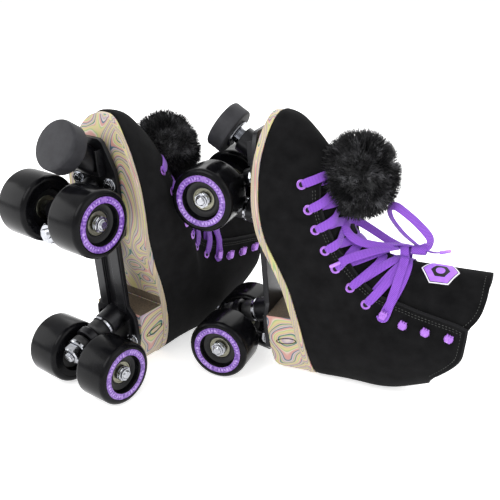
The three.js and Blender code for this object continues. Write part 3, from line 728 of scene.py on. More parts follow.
def rolled_edge(side, surface):
    """A narrow bound edge round the facing and the cuff, as one tube on the wall's rim."""
    line = np.concatenate([smoothed(FACING_EDGE, 90)[8:], smoothed(CUFF_EDGE, 60)[1:]])
    line = line[:np.argmax(line[:, 0] < -36)]  # the two sides meet behind the boot
    left, right = [side_run(line, surface, where, -WALL / 2) for where in (1, -1)]
    path = np.concatenate([left, right[::-1]])
    step = np.linalg.norm(np.diff(path, axis=0), axis=1)
    path = path[np.concatenate([[True], step > 0.05])]
    shape = tube(path, WALL / 2 + 0.15, Shape(), 0, 10)
    piece("bound_edge", side, "boot", shape, "binding")


def offset_line(points, distance):
    points = np.asarray(points, float)
    way = unit(np.gradient(points, axis=0))
    return points + np.stack([way[:, 1], -way[:, 0]], -1) * distance


def resampled(points, step):
    run = distances(points)
    at = np.linspace(0, run[-1], max(2, int(run[-1] / step)))
    return np.stack([np.interp(at, run, points[:, i]) for i in range(points.shape[1])], -1)


def dashes(path, shape, length=2.1, pitch=3.1, radius=0.28):
    """Stitches: short sunk capsules along a line on a surface."""
    step = 0.35
    fine = resampled(path, step)
    per, fill = round(pitch / step), round(length / step)
    for k in range(0, len(fine) - per, per):
        run = fine[k:k + fill]
        radii = [radius * s for s in (0.3, *[1] * (len(run) - 2), 0.3)]
        tube(run, radii, shape, 0, 5)


def stitches(side, surface):
    shape = Shape()
    facing = smoothed(FACING_EDGE, 110)[14:]
    cuff = smoothed(CUFF_EDGE, 60)[2:44]
    for where in (1, -1):
        for distance in SEAMS:
            line = offset_line(facing, -distance)
            dashes(side_run(line, surface, where, 0.05), shape)
        dashes(side_run(offset_line(cuff, -CUFF_SEAM), surface, where, 0.05), shape)
    piece("stitching", side, "boot", shape, "thread", sharp=60)


def make_tongue(side, hand, surface):
    levels, around = (64, 120) if FINE else (34, 72)
    outline = [(186, 172), (186, 128), (150, 130), (110, 142), (80, 160), (62, 180)]
    outline += [tuple(p) for p in smoothed(TONGUE_EDGE, 60)]
    wall = shell(TONGUE_IN, TONGUE_IN + TONGUE_THICK, hand, levels, around)
    shape = Shape().add(*carved(wall, slab(outline)))
    made = piece("tongue_pad", side, "boot", shape, "tongue", ["tongue"], 45, 1.1)
    seam = Shape()
    edge = offset_line(smoothed(TONGUE_EDGE, 70)[6:66], 5.0)
    for where in (1, -1):
        run = side_run(edge, surface, where, 0.2 - TONGUE_IN)
        run = run[np.abs(run[:, 1]) > 2.0]
        dashes(run, seam, 1.9, 2.8, 0.3)
    piece("tongue_stitching", side, "boot", seam, "thread", sharp=60)
    badge(side, hand, surface)


def badge(side, hand, surface):
    """A plain six-sided patch on the tongue with a border and a round motif."""
    middle_x, middle_z, count = 40.0, 243.0, 60
    shape = Shape()

    def lie(a, b, lift):
        """The tongue's surface at a across and b up from the patch's middle."""
        angle = (a - 8 * hand) / 57.0
        way = np.array((math.cos(angle), math.sin(angle), 0.0))
        point, normal = surface.out((middle_x - 10, 0, middle_z + b), way)
        return point + normal * (lift - TONGUE_IN)

    def patch(outer, inner, lift, kind):
        verts, faces = [], []
        for k in range(count):
            a = 2 * math.pi * k / count
            for reach in (inner, outer):
                r = reach(a)
                for extra in (0.0, -0.8):
                    verts.append(lie(r * math.cos(a), r * math.sin(a), lift + extra))
        for k in range(count):
            p, q = 4 * k, 4 * ((k + 1) % count)
            faces += [(p, p + 2, q + 2, q), (p + 1, q + 1, q + 3, p + 3),
                      (p + 2, p + 3, q + 3, q + 2), (p, q, q + 1, p + 1)]
        shape.add(verts, faces, kind)

    def six(width):
        def reach(a):
            k = ((a + math.pi / 6) % (math.pi / 3)) - math.pi / 6
            return width / 2 / math.cos(k)
        return reach

    def disc(radius):
        return lambda a: radius

    patch(six(29.5), six(27.5), 0.9, 1)
    patch(six(27.5), six(26.2), 0.8, 2)
    patch(six(26.2), six(15.0), 1.0, 0)
    patch(six(15.0), disc(4.2), 0.85, 2)
    patch(disc(4.2), disc(0.05), 1.05, 0)
    piece("patch", side, "boot", shape, ["violet", "white", "badge_black"],
          sharp=50)


# ---- Sole and heel ----
SOLE_MARGIN, SOLE_POINTS, SOLE_ROWS = 1.2, 144, 4
HEEL_BASE, HEEL_TOP, HEEL_FRONT, HEEL_ROWS = PLATE_TOP + 0.3, 126, 33, 24
HEEL_TAPER, HEEL_MIDDLE = 0.9, -7  # the foot of the heel against its top, about this x


def plan_ring(hand, count):
    """The boot's outline on the sole line, with the sole's margin."""
    angle = 2 * np.pi * np.arange(count) / count
    points = boot_points(0, angle, hand)
    out = boot_normals(0.0 * angle, angle, hand)
    out[:, 2] = 0
    return points + unit(out) * SOLE_MARGIN


def board(hand):
    """A sheet that follows the sole's curve, with its edge in rows and strips for its faces."""
    count = SOLE_POINTS
    ring = plan_ring(hand, count)
    verts = []
    for r in range(SOLE_ROWS):
        layer = ring.copy()
        layer[:, 2] = sole_top(ring[:, 0]) + (-SOLE_THICK + SOLE_THICK * r / (SOLE_ROWS - 1))
        verts += list(layer)
    faces = [f[::-1] for f in ring_faces(SOLE_ROWS, count)]
    base = (SOLE_ROWS - 1) * count
    for i in range(count // 2):
        lower = tuple(dict.fromkeys((i, i + 1, (count - i - 1) % count, (count - i) % count)))
        faces.append(lower[::-1])
        faces.append(tuple(base + k for k in lower))
    return verts, faces


def make_sole(side, hand):
    verts, faces = board(hand)
    shape = Shape().add(verts, faces)
    points = np.array(verts)
    for k, f in enumerate(faces):
        x, depth = points[list(f), 0], points[list(f), 2] - sole_top(points[list(f), 0])
        if np.all(depth < -SOLE_THICK + 0.05):
            shape.kind[k] = 1 if 34 < x.mean() < 44 else 0
    piece("layered_sole", side, "boot", shape, ["sole", "board"], ["outsole"], 40,
          0.7)


def make_heel(side, hand):
    ring = plan_ring(hand, SOLE_POINTS)
    foot, top = ring.copy(), ring.copy()
    foot[:, 0] = HEEL_MIDDLE + (ring[:, 0] - HEEL_MIDDLE) * HEEL_TAPER
    foot[:, 1] = ring[:, 1] * HEEL_TAPER
    foot[:, 2] = HEEL_BASE - 2
    top[:, 2] = HEEL_TOP
    verts = np.concatenate([foot + (top - foot) * k / (HEEL_ROWS - 1) for k in range(HEEL_ROWS)])
    corner = [(-22 - 11 * math.sin(a) - 0.3 * k, HEEL_BASE + 11 - 11 * math.cos(a))
              for k, a in enumerate(np.linspace(0, math.pi / 2, 9))]
    under = [(x, sole_top(x) - SOLE_THICK) for x in np.linspace(-60, HEEL_FRONT, 40)]
    outline = [(HEEL_FRONT, HEEL_BASE)] + corner + [(-60, HEEL_BASE + 16)] + under
    verts, faces = carved((verts, capped_faces(HEEL_ROWS, SOLE_POINTS)), slab(outline))
    shape = Shape().add(verts, faces)
    points = np.array(verts)
    for k, f in enumerate(faces):
        if np.all(np.abs(points[list(f), 0] - HEEL_FRONT) < 0.05):
            shape.kind[k] = 1
    turns = np.linspace(0, 2 * math.pi, 40, endpoint=False)
    mark = [(6 + 3.2 * math.cos(a) + 1.6 * math.sin(a), 96 + 10.5 * math.sin(a)) for a in turns]
    for where in (1, -1):
        tube(heel_side(mark, hand, where), 0.45, shape, 2, 6, True)
    piece("heel", side, "boot", shape, ["heel", "board", "dark"], ["heel_block"],
          40, 0.0)


def heel_side(points, hand, where):
    """Points on the side of the heel block."""
    ring = plan_ring(hand, 2 * SOLE_POINTS)
    ring = ring[ring[:, 1] * where > 0]
    order = np.argsort(ring[:, 0])
    xs, ys = ring[order, 0], ring[order, 1]
    made = []
    for x, z in points:
        share = (z - HEEL_BASE + 2) / (HEEL_TOP - HEEL_BASE + 2)
        scale = HEEL_TAPER + (1 - HEEL_TAPER) * share
        at = HEEL_MIDDLE + (x - HEEL_MIDDLE) / scale
        made.append((x, np.interp(at, xs, ys) * scale + 0.05 * where, z))
    return made


# ---- Trucks ----
KINGPIN_LEAN = math.radians(12.5)


class Truck:
    """The places of one truck, as in the CAD source."""

    def __init__(self, end):
        self.flip = 1 if end == "rear" else -1
        self.x = 0.0 if end == "rear" else WHEELBASE
        self.up = Vector((self.flip * math.sin(KINGPIN_LEAN), 0, math.cos(KINGPIN_LEAN)))
        self.ring = self.at(18.5, 36)
        self.axle = self.at(0, AXLE_Z)
        self.pivot = self.at(-9, 60)
        self.arm = self.pivot - self.axle

    def at(self, dx, z):
        return Vector((self.x + self.flip * dx, 0, z))

    def along(self, distance):
        return self.ring + self.up * distance


SHOULDER = TRACK / 2 - 12.3
NUT_Y = TRACK / 2 + 12.3
UPPER_SEAT, LOWER_SEAT, WASHER = 19.6, 15.6, 1.6
KINGPIN_R, KINGPIN_ROOT, KINGPIN_HEX = 4.7, 4.2, 16.6
AXLE_R, AXLE_ROOT, AXLE_HEX = 4.0, 3.55, 12.8


def make_hanger(side, end):
    t = Truck(end)
    shape = Shape()
    s = SHOULDER
    run = [(4.4, -s), (6.2, -s), (7.0, -s + 0.8), (7.0, -s + 6), (9.2, -s + 9), (10.4, -s + 13),
           (10.4, s - 13), (9.2, s - 9), (7.0, s - 6), (7.0, s - 0.8), (6.2, s), (4.4, s)]
    room = [(0, 4.05), (13.7, 4.05), (13.7, 23), (0, 23)]
    clear, faces = turned(room, t.ring, t.up, 48, False)
    low_room, low_faces = turned([(r, -h * 0.85 - 0.6) for r, h in room], t.ring, t.up, 48, False)
    low_faces = [tuple(i + len(clear) for i in reversed(f)) for f in low_faces]
    rooms = (clear + low_room, faces + low_faces)
    shape.add(*carved(turned(run, t.axle, (0, 1, 0), 48), rooms, "DIFFERENCE"))
    ring = [(8.1, -3.2), (8.9, -4), (12.6, -4), (13.5, -3), (13.5, 3), (12.6, 4), (8.9, 4),
            (8.1, 3.2)]
    shape.turn(ring, t.ring, t.up, 60)
    reach = t.arm.length
    arm = [(0, -5), (7.6, -4), (7.8, 3), (6.6, 12), (5.0, reach - 5), (4.4, reach - 1.5),
           (3.6, reach + 2.4), (2.0, reach + 4), (0, reach + 4.4)]
    shape.turn(arm, t.axle, t.arm, 36, False)
    for k in (-1, 1):
        outline = [(t.at(-3, 0).x, AXLE_Z - 8), (t.at(7.5, 0).x, 29.5), (t.at(8.6, 0).x, 38.5),
                   (t.at(2, 0).x, AXLE_Z + 9)]
        web = slab(outline, *sorted((k * 3.0, k * 9.6)))
        shape.add(*carved(web, rooms, "DIFFERENCE"))
    piece(f"{end}_hanger_casting", side, f"{end}_truck", shape, "plate",
          [f"{end}_hanger"], 38, 0.5)


def make_kingpin(side, end):
    t = Truck(end)
    shape = Shape()
    nut_top = -LOWER_SEAT - WASHER
    nut_end = nut_top - 9
    profile = [(0, nut_end - 3.2), (3.9, nut_end - 3.2), (4.7, nut_end - 2.4)]
    profile += thread(KINGPIN_R, KINGPIN_ROOT, nut_end - 2.2, nut_top, 1.0, 0.5)
    profile += [(KINGPIN_R, nut_top), (KINGPIN_R, UPPER_SEAT + 12), (0, UPPER_SEAT + 12)]
    shape.turn(profile, t.ring, t.up, 32, False)
    for seat, way in ((-LOWER_SEAT, -1), (UPPER_SEAT, 1)):
        cup = [(4.9, 0), (10.6, 0), (11.4, -1.6), (12.0, -1.5), (12.0, 0.6), (11.2, 1.6), (4.9, 1.6)]
        shape.turn([(r, seat + way * h) for r, h in cup], t.ring, t.up, 56)
    shape.add(*prism(hexagon(KINGPIN_HEX), t.along(nut_end + 0.8), t.up, 7.6))
    chamfer = [(4.9, nut_end), (8.0, nut_end), (9.1, nut_end + 1.2), (9.1, nut_end + 1.6),
               (4.9, nut_end + 1.6)]
    shape.turn(chamfer, t.ring, t.up, 40)
    piece(f"{end}_kingpin_set", side, "boot", shape, "chrome",
          [f"{end}_kingpin"], 34)
    rubber = Shape()
    for low, high in ((-4.3 - 11, -4.3), (4.3, 4.3 + 15)):
        mid, half = (low + high) / 2, (high - low) / 2
        dome_low, dome_high = (1.4, 0) if low > 0 else (0, 1.4)
        barrel = [(4.9, low), (9.6, low + dome_low), (10.6, low + dome_low + 1.0)]
        for k in range(2, 7):
            h = -half + 1 + (2 * half - 2) * k / 8
            barrel.append((10.8 + 0.7 * math.cos(math.pi * h / (2 * half)), mid + h))
        barrel += [(10.6, high - dome_high - 1.0), (9.6, high - dome_high), (4.9, high)]
        rubber.turn(barrel, t.ring, t.up, 56)
    made = piece(f"{end}_cushion_pair", side, "boot", rubber, "cushion",
                 [f"{end}_cushions"])


def make_axle(side, end):
    t = Truck(end)
    rod = Shape()
    tip = NUT_Y + 8
    half = [(3.2, tip), (AXLE_R, tip - 0.8)]
    half += thread(AXLE_R, AXLE_ROOT, tip - 1.2, NUT_Y - 1, -0.9, -0.45) + [(AXLE_R, NUT_Y - 2)]
    rod.turn([(0, tip)] + half + [(r, -y) for r, y in reversed(half)] + [(0, -tip)],
             t.axle, (0, 1, 0), 28, False)
    piece(f"{end}_axle_rod", side, f"{end}_truck", rod, "chrome",
          [f"{end}_axle"])
    for where, letter in ((1, "l"), (-1, "r")):
        nut = Shape()
        axis = (0, where, 0)
        nut.add(*prism(hexagon(AXLE_HEX), t.axle + Vector((0, where * (NUT_Y + 0.9), 0)), axis, 4.0))
        collar = [(4.2, NUT_Y + 4.6), (5.9, NUT_Y + 4.6), (5.4, NUT_Y + 6.1), (4.4, NUT_Y + 6.3)]
        nut.turn(collar, t.axle, axis, 36)
        face = [(4.2, NUT_Y + 0.3), (6.2, NUT_Y + 0.3), (7.1, NUT_Y + 1.1), (7.1, NUT_Y + 1.5),
                (4.2, NUT_Y + 1.5)]
        nut.turn(face, t.axle, axis, 36)
        top = [(4.2, NUT_Y + 4.5), (6.4, NUT_Y + 4.5), (7.1, NUT_Y + 4.0), (4.2, NUT_Y + 4.0)]
        nut.turn(top, t.axle, axis, 36)
        piece(f"{end}_lock_nut_{letter}", side, f"{end}_truck", nut, "chrome",
              [f"{end}_axle_nut_{letter}"], 34)


def rounded(r, h, radius, start, stop, steps=7):
    """Points of a fillet about (r, h), angles in degrees from the outward radius."""
    return [(r + radius * math.cos(math.radians(a)), h + radius * math.sin(math.radians(a)))
            for a in np.linspace(start, stop, steps)]


def make_wheels(side):
    for end, x in (("front", WHEELBASE), ("rear", 0.0)):
        for letter, where in (("l", 1), ("r", -1)):
            origin, axis = (x, where * TRACK / 2, AXLE_Z), (0, where, 0)
            half = rounded(26.2, 14.2, 4.8, 0, 90)
            half += [(25.4, 18.95), (25.1, 18.6), (19.0, 18.6), (18.6, 18.2)]
            tyre = half + [(17.9, 16.4), (17.5, 13.4), (17.3, 12.9)]
            hub = [(17.5, 12.9), (15.8, 12.3), (14.2, 12.1), (12.4, 12.2), (12.0, 12.7),
                   (11.3, 12.6)]
            outer = tyre[::-1] + [(r, -h) for r, h in tyre]
            inner = hub + [(r, -h) for r, h in reversed(hub)]
            wheel = Shape().turn(outer, origin, axis, 96)
            wheel.add(*turned(inner, origin, axis), 1)
            piece(f"{end}_wheel_body_{letter}", side, f"{end}_wheel_{letter}", wheel,
                  ["wheel", "hub"], [f"wheel_{end}_{letter}"], 30)
            make_band(side, end, letter, origin, axis)
            make_bearings(side, end, letter, origin, axis)


BAND_BARS, BAR_GAPS = 44, (9, 10, 20, 21, 31, 32, 42, 43)


def make_band(side, end, letter, origin, axis):
    """The printed ring, with plain bars of random height and width in place of lettering."""
    band = Shape().turn([(19.2, 18.55), (24.95, 18.55), (24.95, 18.75), (19.2, 18.75)],
                        origin, axis, 96)
    u, v, w = basis(axis)
    rng = random.Random(f"{side}{end}{letter}")
    for mark in range(BAND_BARS):
        if mark in BAR_GAPS:
            continue
        angle = 2 * math.pi * mark / BAND_BARS
        height, wide = rng.uniform(1.2, 3.2), rng.uniform(0.022, 0.05)
        corners = []
        for lift in (18.7, 18.82):
            for dr, da in ((-1, -1), (1, -1), (1, 1), (-1, 1)):
                r, a = 22.1 + dr * height / 2, angle + da * wide
                corners.append(Vector(origin) + (u * math.cos(a) + v * math.sin(a)) * r + w * lift)
        band.add(corners, [(3, 2, 1, 0), (4, 5, 6, 7), (0, 1, 5, 4), (1, 2, 6, 5), (2, 3, 7, 6),
                           (3, 0, 4, 7)], 1)
    piece(f"{end}_wheel_band_{letter}", side, f"{end}_wheel_{letter}", band, ["print", "mark"])


def make_bearings(side, end, letter, origin, axis):
    shape = Shape()
    for way in (1, -1):
        run = [(4.3, 5.2), (11.0, 5.2), (11.0, 11.7), (10.6, 12.0), (9.4, 12.0), (9.2, 11.6)]
        run += [(6.4, 11.6), (6.2, 12.0), (4.6, 12.0), (4.3, 11.7)]
        shape.turn([(r, way * h) for r, h in run], origin, axis, 56)
    shape.turn([(4.4, -5.1), (6.0, -5.1), (6.0, 5.1), (4.4, 5.1)], origin, axis, 32)
    piece(f"{end}_bearing_set_{letter}", side, f"{end}_wheel_{letter}", shape, "steel",
          [f"bearings_{end}_{letter}"], 30)


# ---- Plate and toe stop ----
STOP_FACE, STOP_TILT = Vector((220, 0, 34)), math.radians(37)
STOP_AXIS = Vector((-math.sin(STOP_TILT), 0, math.cos(STOP_TILT)))


def make_stop(side):
    face = [(0, 0.2), (8, 0.2), (16, 0.5), (19.2, 0.9)]
    rim = rounded(20.2, 4.4, 3.3, -80, 0, 7)
    top = rounded(21.2, 16.4, 2.2, 0, 90, 6)
    profile = face + rim + [(23.4, 10)] + top + [(14, 18.8), (13.2, 18.2), (9, 18.2), (0, 18.2)]
    shape = Shape().turn(profile, STOP_FACE, STOP_AXIS, 96, False)
    piece("stop_pad", side, "stop", shape, "stop", ["toe_stop"], 34)
    stem = Shape()
    stem.turn([(0, 19.3), (14.0, 19.3), (14.0, 20.6), (13.0, 21.4), (0, 21.4)],
              STOP_FACE, STOP_AXIS, 56, False)
    rod = [(0, 21.0), (7.6, 21.0)] + thread(7.9, 7.3, 21.4, 44.4, 1.2, 0.6)
    rod += [(7.4, 45.4), (0, 45.4)]
    stem.turn(rod, STOP_FACE, STOP_AXIS, 40, False)
    piece("stop_stem", side, "stop", stem, "chrome", ["toe_stop_stem"], 34)


BOLT_X, BOLT_Y = (4.5, 134, 172), 20.5
FIN_Y = (-14.5, -4.8, 4.8, 14.5)  # fins under the toe stop's boss


def make_plate(side):
    top, under = PLATE_TOP, PLATE_TOP - PLATE_THICK
    half = [(-9, 19), (-4, 26), (3, 27), (22, 27), (31, 26), (41, 18.5), (112.5, 18.5),
            (121, 27.5), (127, 29), (178, 29), (186, 28.2), (204, 20), (211, 16.5), (214, 12)]
    outline = half + [(x, -y) for x, y in reversed(half)]
    verts = [(x, y, z) for z in (under, top) for x, y in outline]
    groove = block(39, 120.5, -6, 6, under - 3, top - 2)
    shape = Shape().add(*carved((verts, bar_faces(len(outline))), groove, "DIFFERENCE"))
    for y in (-1, 1):
        low, high = sorted((y * 6.6, y * 17.6))
        shape.add(*block(36, 122, low, high, under - 1.6, under + 0.4))
    for end in ("rear", "front"):
        t = Truck(end)
        seat = UPPER_SEAT + WASHER + 0.3
        reach = (top - t.along(seat).z) / 0.97 - 2
        boss = [(5.2, seat), (12.0, seat), (12.5, seat + 0.6), (12.5, seat + reach),
                (5.2, seat + reach)]
        shape.turn(boss, t.ring, t.up, 56)
        cup = [(6.6, -3), (8.6, -3), (9.0, -2.4), (9.0, 10.5), (0, 10.5), (0, 6), (6.6, 6)]
        shape.turn(cup, t.pivot, t.arm, 48, False)
        for y in (-1, 1):
            shape.add(*block(*sorted((t.at(-6, 0).x, t.at(28, 0).x)), *sorted((y * 19.5, y * 21.5)),
                             under - 3.2, under + 0.5))
    collar = [(8.6, 27), (12.0, 27), (12.5, 27.6), (12.5, 49), (8.6, 49)]
    shape.turn(collar, STOP_FACE, STOP_AXIS, 56)
    for y in FIN_Y:
        shape.add(*block(183, 205, y - 1.1, y + 1.1, under - 7.5, under + 0.5))
    shape.add(*block(181, 185, -16, 16, under - 7.5, under + 0.5))
    piece("sole_plate", side, "boot", shape, "plate", ["plate"], 34, 0.45)
    caps = Shape()
    for end in ("rear", "front"):
        t = Truck(end)
        caps.turn([(5.7, -3.4), (6.4, -3.4), (6.5, 5.2), (5.0, 5.2)], t.pivot, t.arm, 40)
    piece("pivot_cups", side, "boot", caps, "cushion")
    bolts = Shape()
    tip = [(0, -4.2), (3.0, -4.2), (3.6, -3.4), (3.6, -2.0), (0, -2.0)]
    washer = [(0, -1.2), (6.4, -1.2), (6.6, -0.9), (6.6, 0.2), (0, 0.2)]
    up = (0, 0, 1)
    for x in BOLT_X:
        for y in (-BOLT_Y, BOLT_Y):
            bolts.turn(tip, (x, y, under), up, 32, False)
            bolts.turn(washer, (x, y, under), up, 40, False)
            bolts.add(*prism(hexagon(9.8), (x, y, under - 3.9), up, 2.9))
    piece("mount_bolts", side, "boot", bolts, "chrome", sharp=34, bevel=0.25)


# ---- Eyelets, hooks and laces ----
HOOK_LINE = [(-1.6, 0.8), (-2.6, 2.0), (-1.8, 3.6), (0.6, 4.1), (3.4, 4.0), (5.2, 4.4)]


def make_eyelets(side, surface):
    rings, hooks = Shape(), Shape()
    for where in (1, -1):
        for x, z in EYELETS:
            p, n = surface.side(x, z, where)
            ring = [(2.5, 0.1), (2.5, 0.5), (3.1, 0.7), (3.9, 0.62), (4.6, 0.35), (4.7, -0.2),
                    (2.5, -0.2)]
            rings.turn(ring, p, n, 30)
            # A near-black disc fills each eyelet's hole: painted shade standing in for the dark hole.
            rings.add(*turned([(0, -0.2), (2.6, -0.2), (2.6, 0.18), (0, 0.18)], p, n, 24, False), 1)
        for x, z in HOOKS:
            p, n = surface.side(x, z, where)
            hooks.turn([(0, -0.2), (4.2, -0.2), (4.4, 0.3), (4.0, 0.9), (0, 0.9)],
                       p, n, 32, False)
            n = Vector(n)
            out = Vector((1, 0, 0.4)) - n * Vector((1, 0, 0.4)).dot(n)
            out.normalize()
            p = Vector(p)
            arc = smoothed([tuple(p + out * a + n * b) for a, b in HOOK_LINE], 22)
            cross = np.cross(np.array(out), np.array(n))
            width = np.interp(np.arange(22), [0, 8, 16, 21], [5.0, 5.6, 7.2, 6.4])
            ribbon(arc, np.cross(cross, np.gradient(arc, axis=0)), width, 1.0, hooks)
            for k in (-1, 0, 1):
                tip = p + out * 5.2 + n * 4.3 + Vector(cross) * (k * 2.3)
                hooks.turn([(0, 0), (1.0, 0.2), (0.9, 1.2), (0, 1.7)], tip, out, 12, False)
    piece("eyelet_rings", side, "boot", rings, ["eyelet", "dark"], sharp=50)
    piece("lace_hooks", side, "boot", hooks, "eyelet", sharp=50)


LACE_W, LACE_T, LACE_TUCKED = 8.2, 1.25, 4.6  # width, thickness, width at an eyelet
TONGUE_LIFT = 0.75 - TONGUE_IN
KNOT = np.array((99.0, -2.0, 208.0))


def lace_strand(surface, start, end, where, over, shape):
    """A strand from under the facing at one eyelet, over the tongue, into the far eyelet."""
    a, _ = surface.side(*start, where)
    b, _ = surface.side(*end, -where)
    low, high = (start, end) if start[1] <= end[1] else (end, start)
    if start == end:
        low, high = EYELETS[0], EYELETS[1]
    outward = np.array((high[1] - low[1], 0, low[0] - high[0]), float)
    outward /= np.linalg.norm(outward)
    origin = (a + b) / 2 - outward * 24
    path, normals, widths = [], [], []
    for t in np.linspace(0, 1, 61):
        way = a * (1 - t) + b * t - origin
        way /= np.linalg.norm(way)
        p, n = surface.out(origin, way)
        middle_lift = TONGUE_LIFT + over * math.exp(-((t - 0.5) / 0.13) ** 2)
        if start == end:
            lift = 0.9 - (0.9 - middle_lift) * smoothstep(min(t, 1 - t), 0.30, 0.42)
            lift -= 1.6 * (1 - smoothstep(min(t, 1 - t), 0.0, 0.05))
            pinch = smoothstep(min(t, 1 - t), 0.0, 0.1)
        else:
            lift = middle_lift + (0.95 - middle_lift) * smoothstep(t, 0.62, 0.80)
            lift -= 2.0 * smoothstep(t, 0.965, 1.0)
            pinch = 1 - smoothstep(t, 0.9, 1.0)
        path.append(p + n * lift)
        normals.append(n)
        widths.append(LACE_TUCKED + (LACE_W - LACE_TUCKED) * float(pinch))
    ribbon(path, normals, widths, LACE_T, shape)


def to_hook(surface, where, shape):
    """From the last eyelet under the facing, over to the first hook, round it and to the knot."""
    lace_strand(surface, EYELETS[-1], HOOKS[0], where, 0.7, shape)
    side = -where
    p, n = surface.side(*HOOKS[0], side)
    points = [p + n * 1.9 + np.array((1.0, 0, -3.2)), p + n * 2.4 + np.array((-2.6, 0, -1.6)),
              p + n * 2.4 + np.array((-2.4, 0, 2.2)), p + n * 2.0 + np.array((2.0, 0, 4.2))]
    knot = KNOT + np.array((-1.2, 1.5 * side, 3.0))
    origin = (p + knot) / 2 - np.array((20, 0, 4))
    for t in np.linspace(0.15, 0.95, 9):
        way = (points[3] * (1 - t) + knot * t) - origin
        q, m = surface.out(origin, way / np.linalg.norm(way))
        lift = 1.2 * (1 - t) + 2.2 * t if t < 0.35 or t > 0.7 else -0.4
        points.append(q + m * lift)
    points.append(knot)
    path = smoothed(points, 70)
    normals = []
    for q in path:
        m = surface.tree.find_nearest(Vector(q))[1]
        if m.dot(Vector(q) - Vector((30, 0, q[2]))) < 0:
            m = -m
        normals.append(np.array(m))
    widths = np.interp(np.linspace(0, 1, 70), [0, 0.2, 0.35, 0.9, 1],
                       [5.6, 5.2, LACE_W, LACE_W, 5.5])
    ribbon(path, normals, widths, LACE_T, shape)


def make_laces(side, hand, surface):
    shape = Shape()
    lace_strand(surface, EYELETS[0], EYELETS[0], 1, 0.0, shape)
    for k in range(len(EYELETS) - 1):
        lace_strand(surface, EYELETS[k], EYELETS[k + 1], 1, 1.5, shape)
        lace_strand(surface, EYELETS[k], EYELETS[k + 1], -1, 0.0, shape)
    for where in (1, -1):
        to_hook(surface, where, shape)
    angles = np.linspace(0, 2 * math.pi, 40, endpoint=False)
    for shift, rx, ry in ((0.0, 4.4, 6.2), (1.6, 5.2, 7.2)):
        wrap = [KNOT + np.array((rx * math.cos(a), ry * math.sin(a), shift + 1.2 * math.sin(a)))
                for a in angles]
        facing = [np.array((math.cos(a) / rx, math.sin(a) / ry, 0)) for a in angles]
        ribbon(wrap, facing, 7.4 - shift, LACE_T, shape, closed=True)
    piece("lacing", side, "boot", shape, "lace", ["laces"], 60)
    make_bow(side, hand)


def free_lace(name, side, points, normals):
    """A free stretch of the flat lace: a smooth ribbon."""
    count = 90
    path = smoothed(points, count)
    facing = unit(smoothed(normals, count))
    shape = ribbon(path, facing, LACE_W, LACE_T, Shape())
    made = piece(name, side, "boot", shape, "lace", (), 60)


def make_aglet(name, side, start, end):
    start, end = Vector(start), Vector(end)
    way = end - start
    tip = way.length
    film = [(0, 0), (1.5, 0), (1.7, 0.8), (1.6, tip - 1), (1.2, tip), (0, tip)]
    shape = Shape().turn(film, start, way, 20, False)
    return piece(name, side, "boot", shape, "aglet")


def make_bow(side, hand):
    """Two loops and two ends from the knot, drawn for the right skate and mirrored for the left."""
    m = np.array((1, -hand, 1), float)

    def at(*points):
        return [np.array(p, float) * m for p in points]

    loop = at((100, -2, 212), (103, -1, 224), (107, 0, 231), (115, 1, 231.5), (128, 2, 221),
              (139, 3, 209), (143.5, 2.5, 201.5), (141, 0, 196), (131, -2, 196.5),
              (117, -3, 206), (107, -3, 217), (103.5, -3.5, 222))
    faces = at((1, .4, .2), (1, .7, .6), (0.6, .9, 1), (.3, 1, 1), (.65, 1, .75), (.8, 1, .6),
               (1, 1, -.3), (.3, 1, -1), (-.6, 1, -.8), (-.7, 1, -.7), (-.8, .8, -.5),
               (-.9, .6, -.3))
    free_lace("bow_loop_a", side, loop, faces)
    loop = at((102, -4, 205), (105.5, -7, 194), (112, -9, 182), (120, -8, 170), (127, -3, 161),
              (129.5, 6, 157.5), (126, 14, 157.5), (119, 17, 162), (112, 15, 171), (107, 9, 184),
              (104, 2, 200))
    faces = at((1, .5, .1), (.9, .8, .35), (.75, .9, .6), (.6, 1, .75), (.3, 1, .8),
               (.2, 1, .6), (.5, 1, .8), (.6, 1, .75), (.75, .9, .6), (.9, .8, .35), (1, .5, .1))
    free_lace("bow_loop_b", side, loop, faces)
    tail = at((103, 1, 203), (103.5, 7, 194), (103.5, 15, 184), (102.5, 23, 174), (101, 30, 165),
              (98.5, 36.5, 157.5))
    faces = at((1, .1, .1), (.9, .3, .2), (.75, .5, .3), (.65, .65, .4), (.5, .75, .4), (.4, .8, .4))
    tip = make_aglet("aglet_b", side, tail[-1], tail[-1] + np.array((-2, 7 * m[1], -7.5)))
    free_lace("lace_end_b", side, tail, faces)
    tail = at((104, -1, 189), (105, -2, 200), (103.5, -5, 211), (100.5, -7.5, 220),
              (98, -8, 228), (97, -7, 234), (98, -5, 240))
    faces = at((1, 0, .1), (1, -.1, .1), (1, -.2, .1), (1, -.25, .05), (1, -.3, 0), (1, -.3, 0),
               (1, -.3, 0))
    tip = make_aglet("aglet_a", side, tail[-1], tail[-1] + np.array((2.5, 0, 10)))
    free_lace("lace_end_a", side, tail, faces)
    bundle = Shape()
    angles = np.linspace(0, 2 * math.pi, 30, endpoint=False)
    wrap = [KNOT * m + np.array((1.5 + 3.6 * math.cos(a), 5.0 * math.sin(a), 14)) for a in angles]
    facing = [np.array((math.cos(a), math.sin(a), 0)) for a in angles]
    ribbon(wrap, facing, 13.0, LACE_T, bundle, closed=True)
    piece("knot_tail", side, "boot", bundle, "lace", sharp=60)


# ---- Pompom ----
POM_SEED, POM_REACH = {"left": 11, "right": 12}, {"left": 35.4, "right": 37.0}
POM_CORE, POM_TUFTS = 29, 190


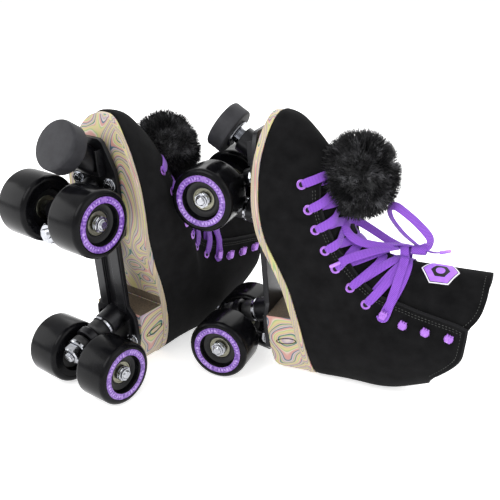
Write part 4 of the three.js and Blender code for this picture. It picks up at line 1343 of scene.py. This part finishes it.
def make_pompom(side, surface):
    """Tapered strands from a middle, pulled together in tufts, round a dark rough core."""
    rng = np.random.default_rng(POM_SEED[side])
    centre = np.array((171.0, 0.0, 169.0))
    count = 9000 if FINE else 3000
    k = np.arange(count) + 0.5
    polar = np.arccos(1 - 2 * k / count)
    turn = math.pi * (1 + 5 ** 0.5) * k
    ways = np.stack([np.sin(polar) * np.cos(turn), np.sin(polar) * np.sin(turn), np.cos(polar)], -1)
    ways += rng.normal(0, 0.05, ways.shape)
    ways = unit(ways)
    tufts = unit(rng.normal(0, 1, (POM_TUFTS, 3)))
    pull = tufts[np.argmax(ways @ tufts.T, axis=1)]
    reach = POM_REACH[side] + rng.normal(0, 1.3, count) + 5.0 * ways[:, 0] ** 2
    curl = rng.normal(0, 1, (count, 3)) * 0.10
    steps = np.array((0.30, 0.55, 0.78, 0.93, 1.0))
    radii = np.array((0.42, 0.40, 0.34, 0.24, 0.08))
    shape = Shape()
    verts, faces = [], []
    for i in range(count):
        if surface.inside(centre + ways[i] * 30) or surface.inside(centre + ways[i] * 22):
            continue
        a = np.cross(ways[i], (0.31, 0.52, 0.79))
        a /= np.linalg.norm(a)
        b = np.cross(ways[i], a)
        base = len(verts)
        for s, r in zip(steps, radii):
            way = ways[i] + (pull[i] - ways[i]) * 0.50 * s ** 2 + curl[i] * s ** 3
            p = centre + way / np.linalg.norm(way) * reach[i] * s
            for c in range(3):
                t = 2 * math.pi * c / 3
                verts.append(p + (a * math.cos(t) + b * math.sin(t)) * r)
        for j in range(4):
            for c in range(3):
                d = (c + 1) % 3
                faces.append((base + 3 * j + c, base + 3 * j + d,
                              base + 3 * j + 3 + d, base + 3 * j + 3 + c))
        faces += [(base + 2, base + 1, base), (base + 12, base + 13, base + 14)]
    shape.add(verts, faces)
    half = [(POM_CORE * math.sin(a), -POM_CORE * math.cos(a))
            for a in np.linspace(0.15, math.pi - 0.15, 18)]
    ball, faces = turned([(0, -POM_CORE)] + half + [(0, POM_CORE)], centre, (0, 0, 1), 40, False)
    points = np.array([tuple(p) for p in ball])
    shape.add(points + (points - centre) * rng.uniform(-0.06, 0.10, (len(points), 1)), faces)
    made = piece("pompom_fur", side, "boot", shape, "fur", ["pompom"], 80)


def make_skate(side):
    hand = SKATES[side][0]
    surface = Skin(hand)
    make_upper(side, hand, surface)
    make_tongue(side, hand, surface)
    make_sole(side, hand)
    make_heel(side, hand)
    make_plate(side)
    make_stop(side)
    for end in ("front", "rear"):
        make_hanger(side, end)
        make_kingpin(side, end)
        make_axle(side, end)
    make_wheels(side)
    make_eyelets(side, surface)
    make_laces(side, hand, surface)
    make_pompom(side, surface)
    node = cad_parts[f"{side}_footbed"]
    node.data.materials.clear()
    node.data.materials.append(MAT["lining"])


for skate_side in SKATES:
    make_skate(skate_side)
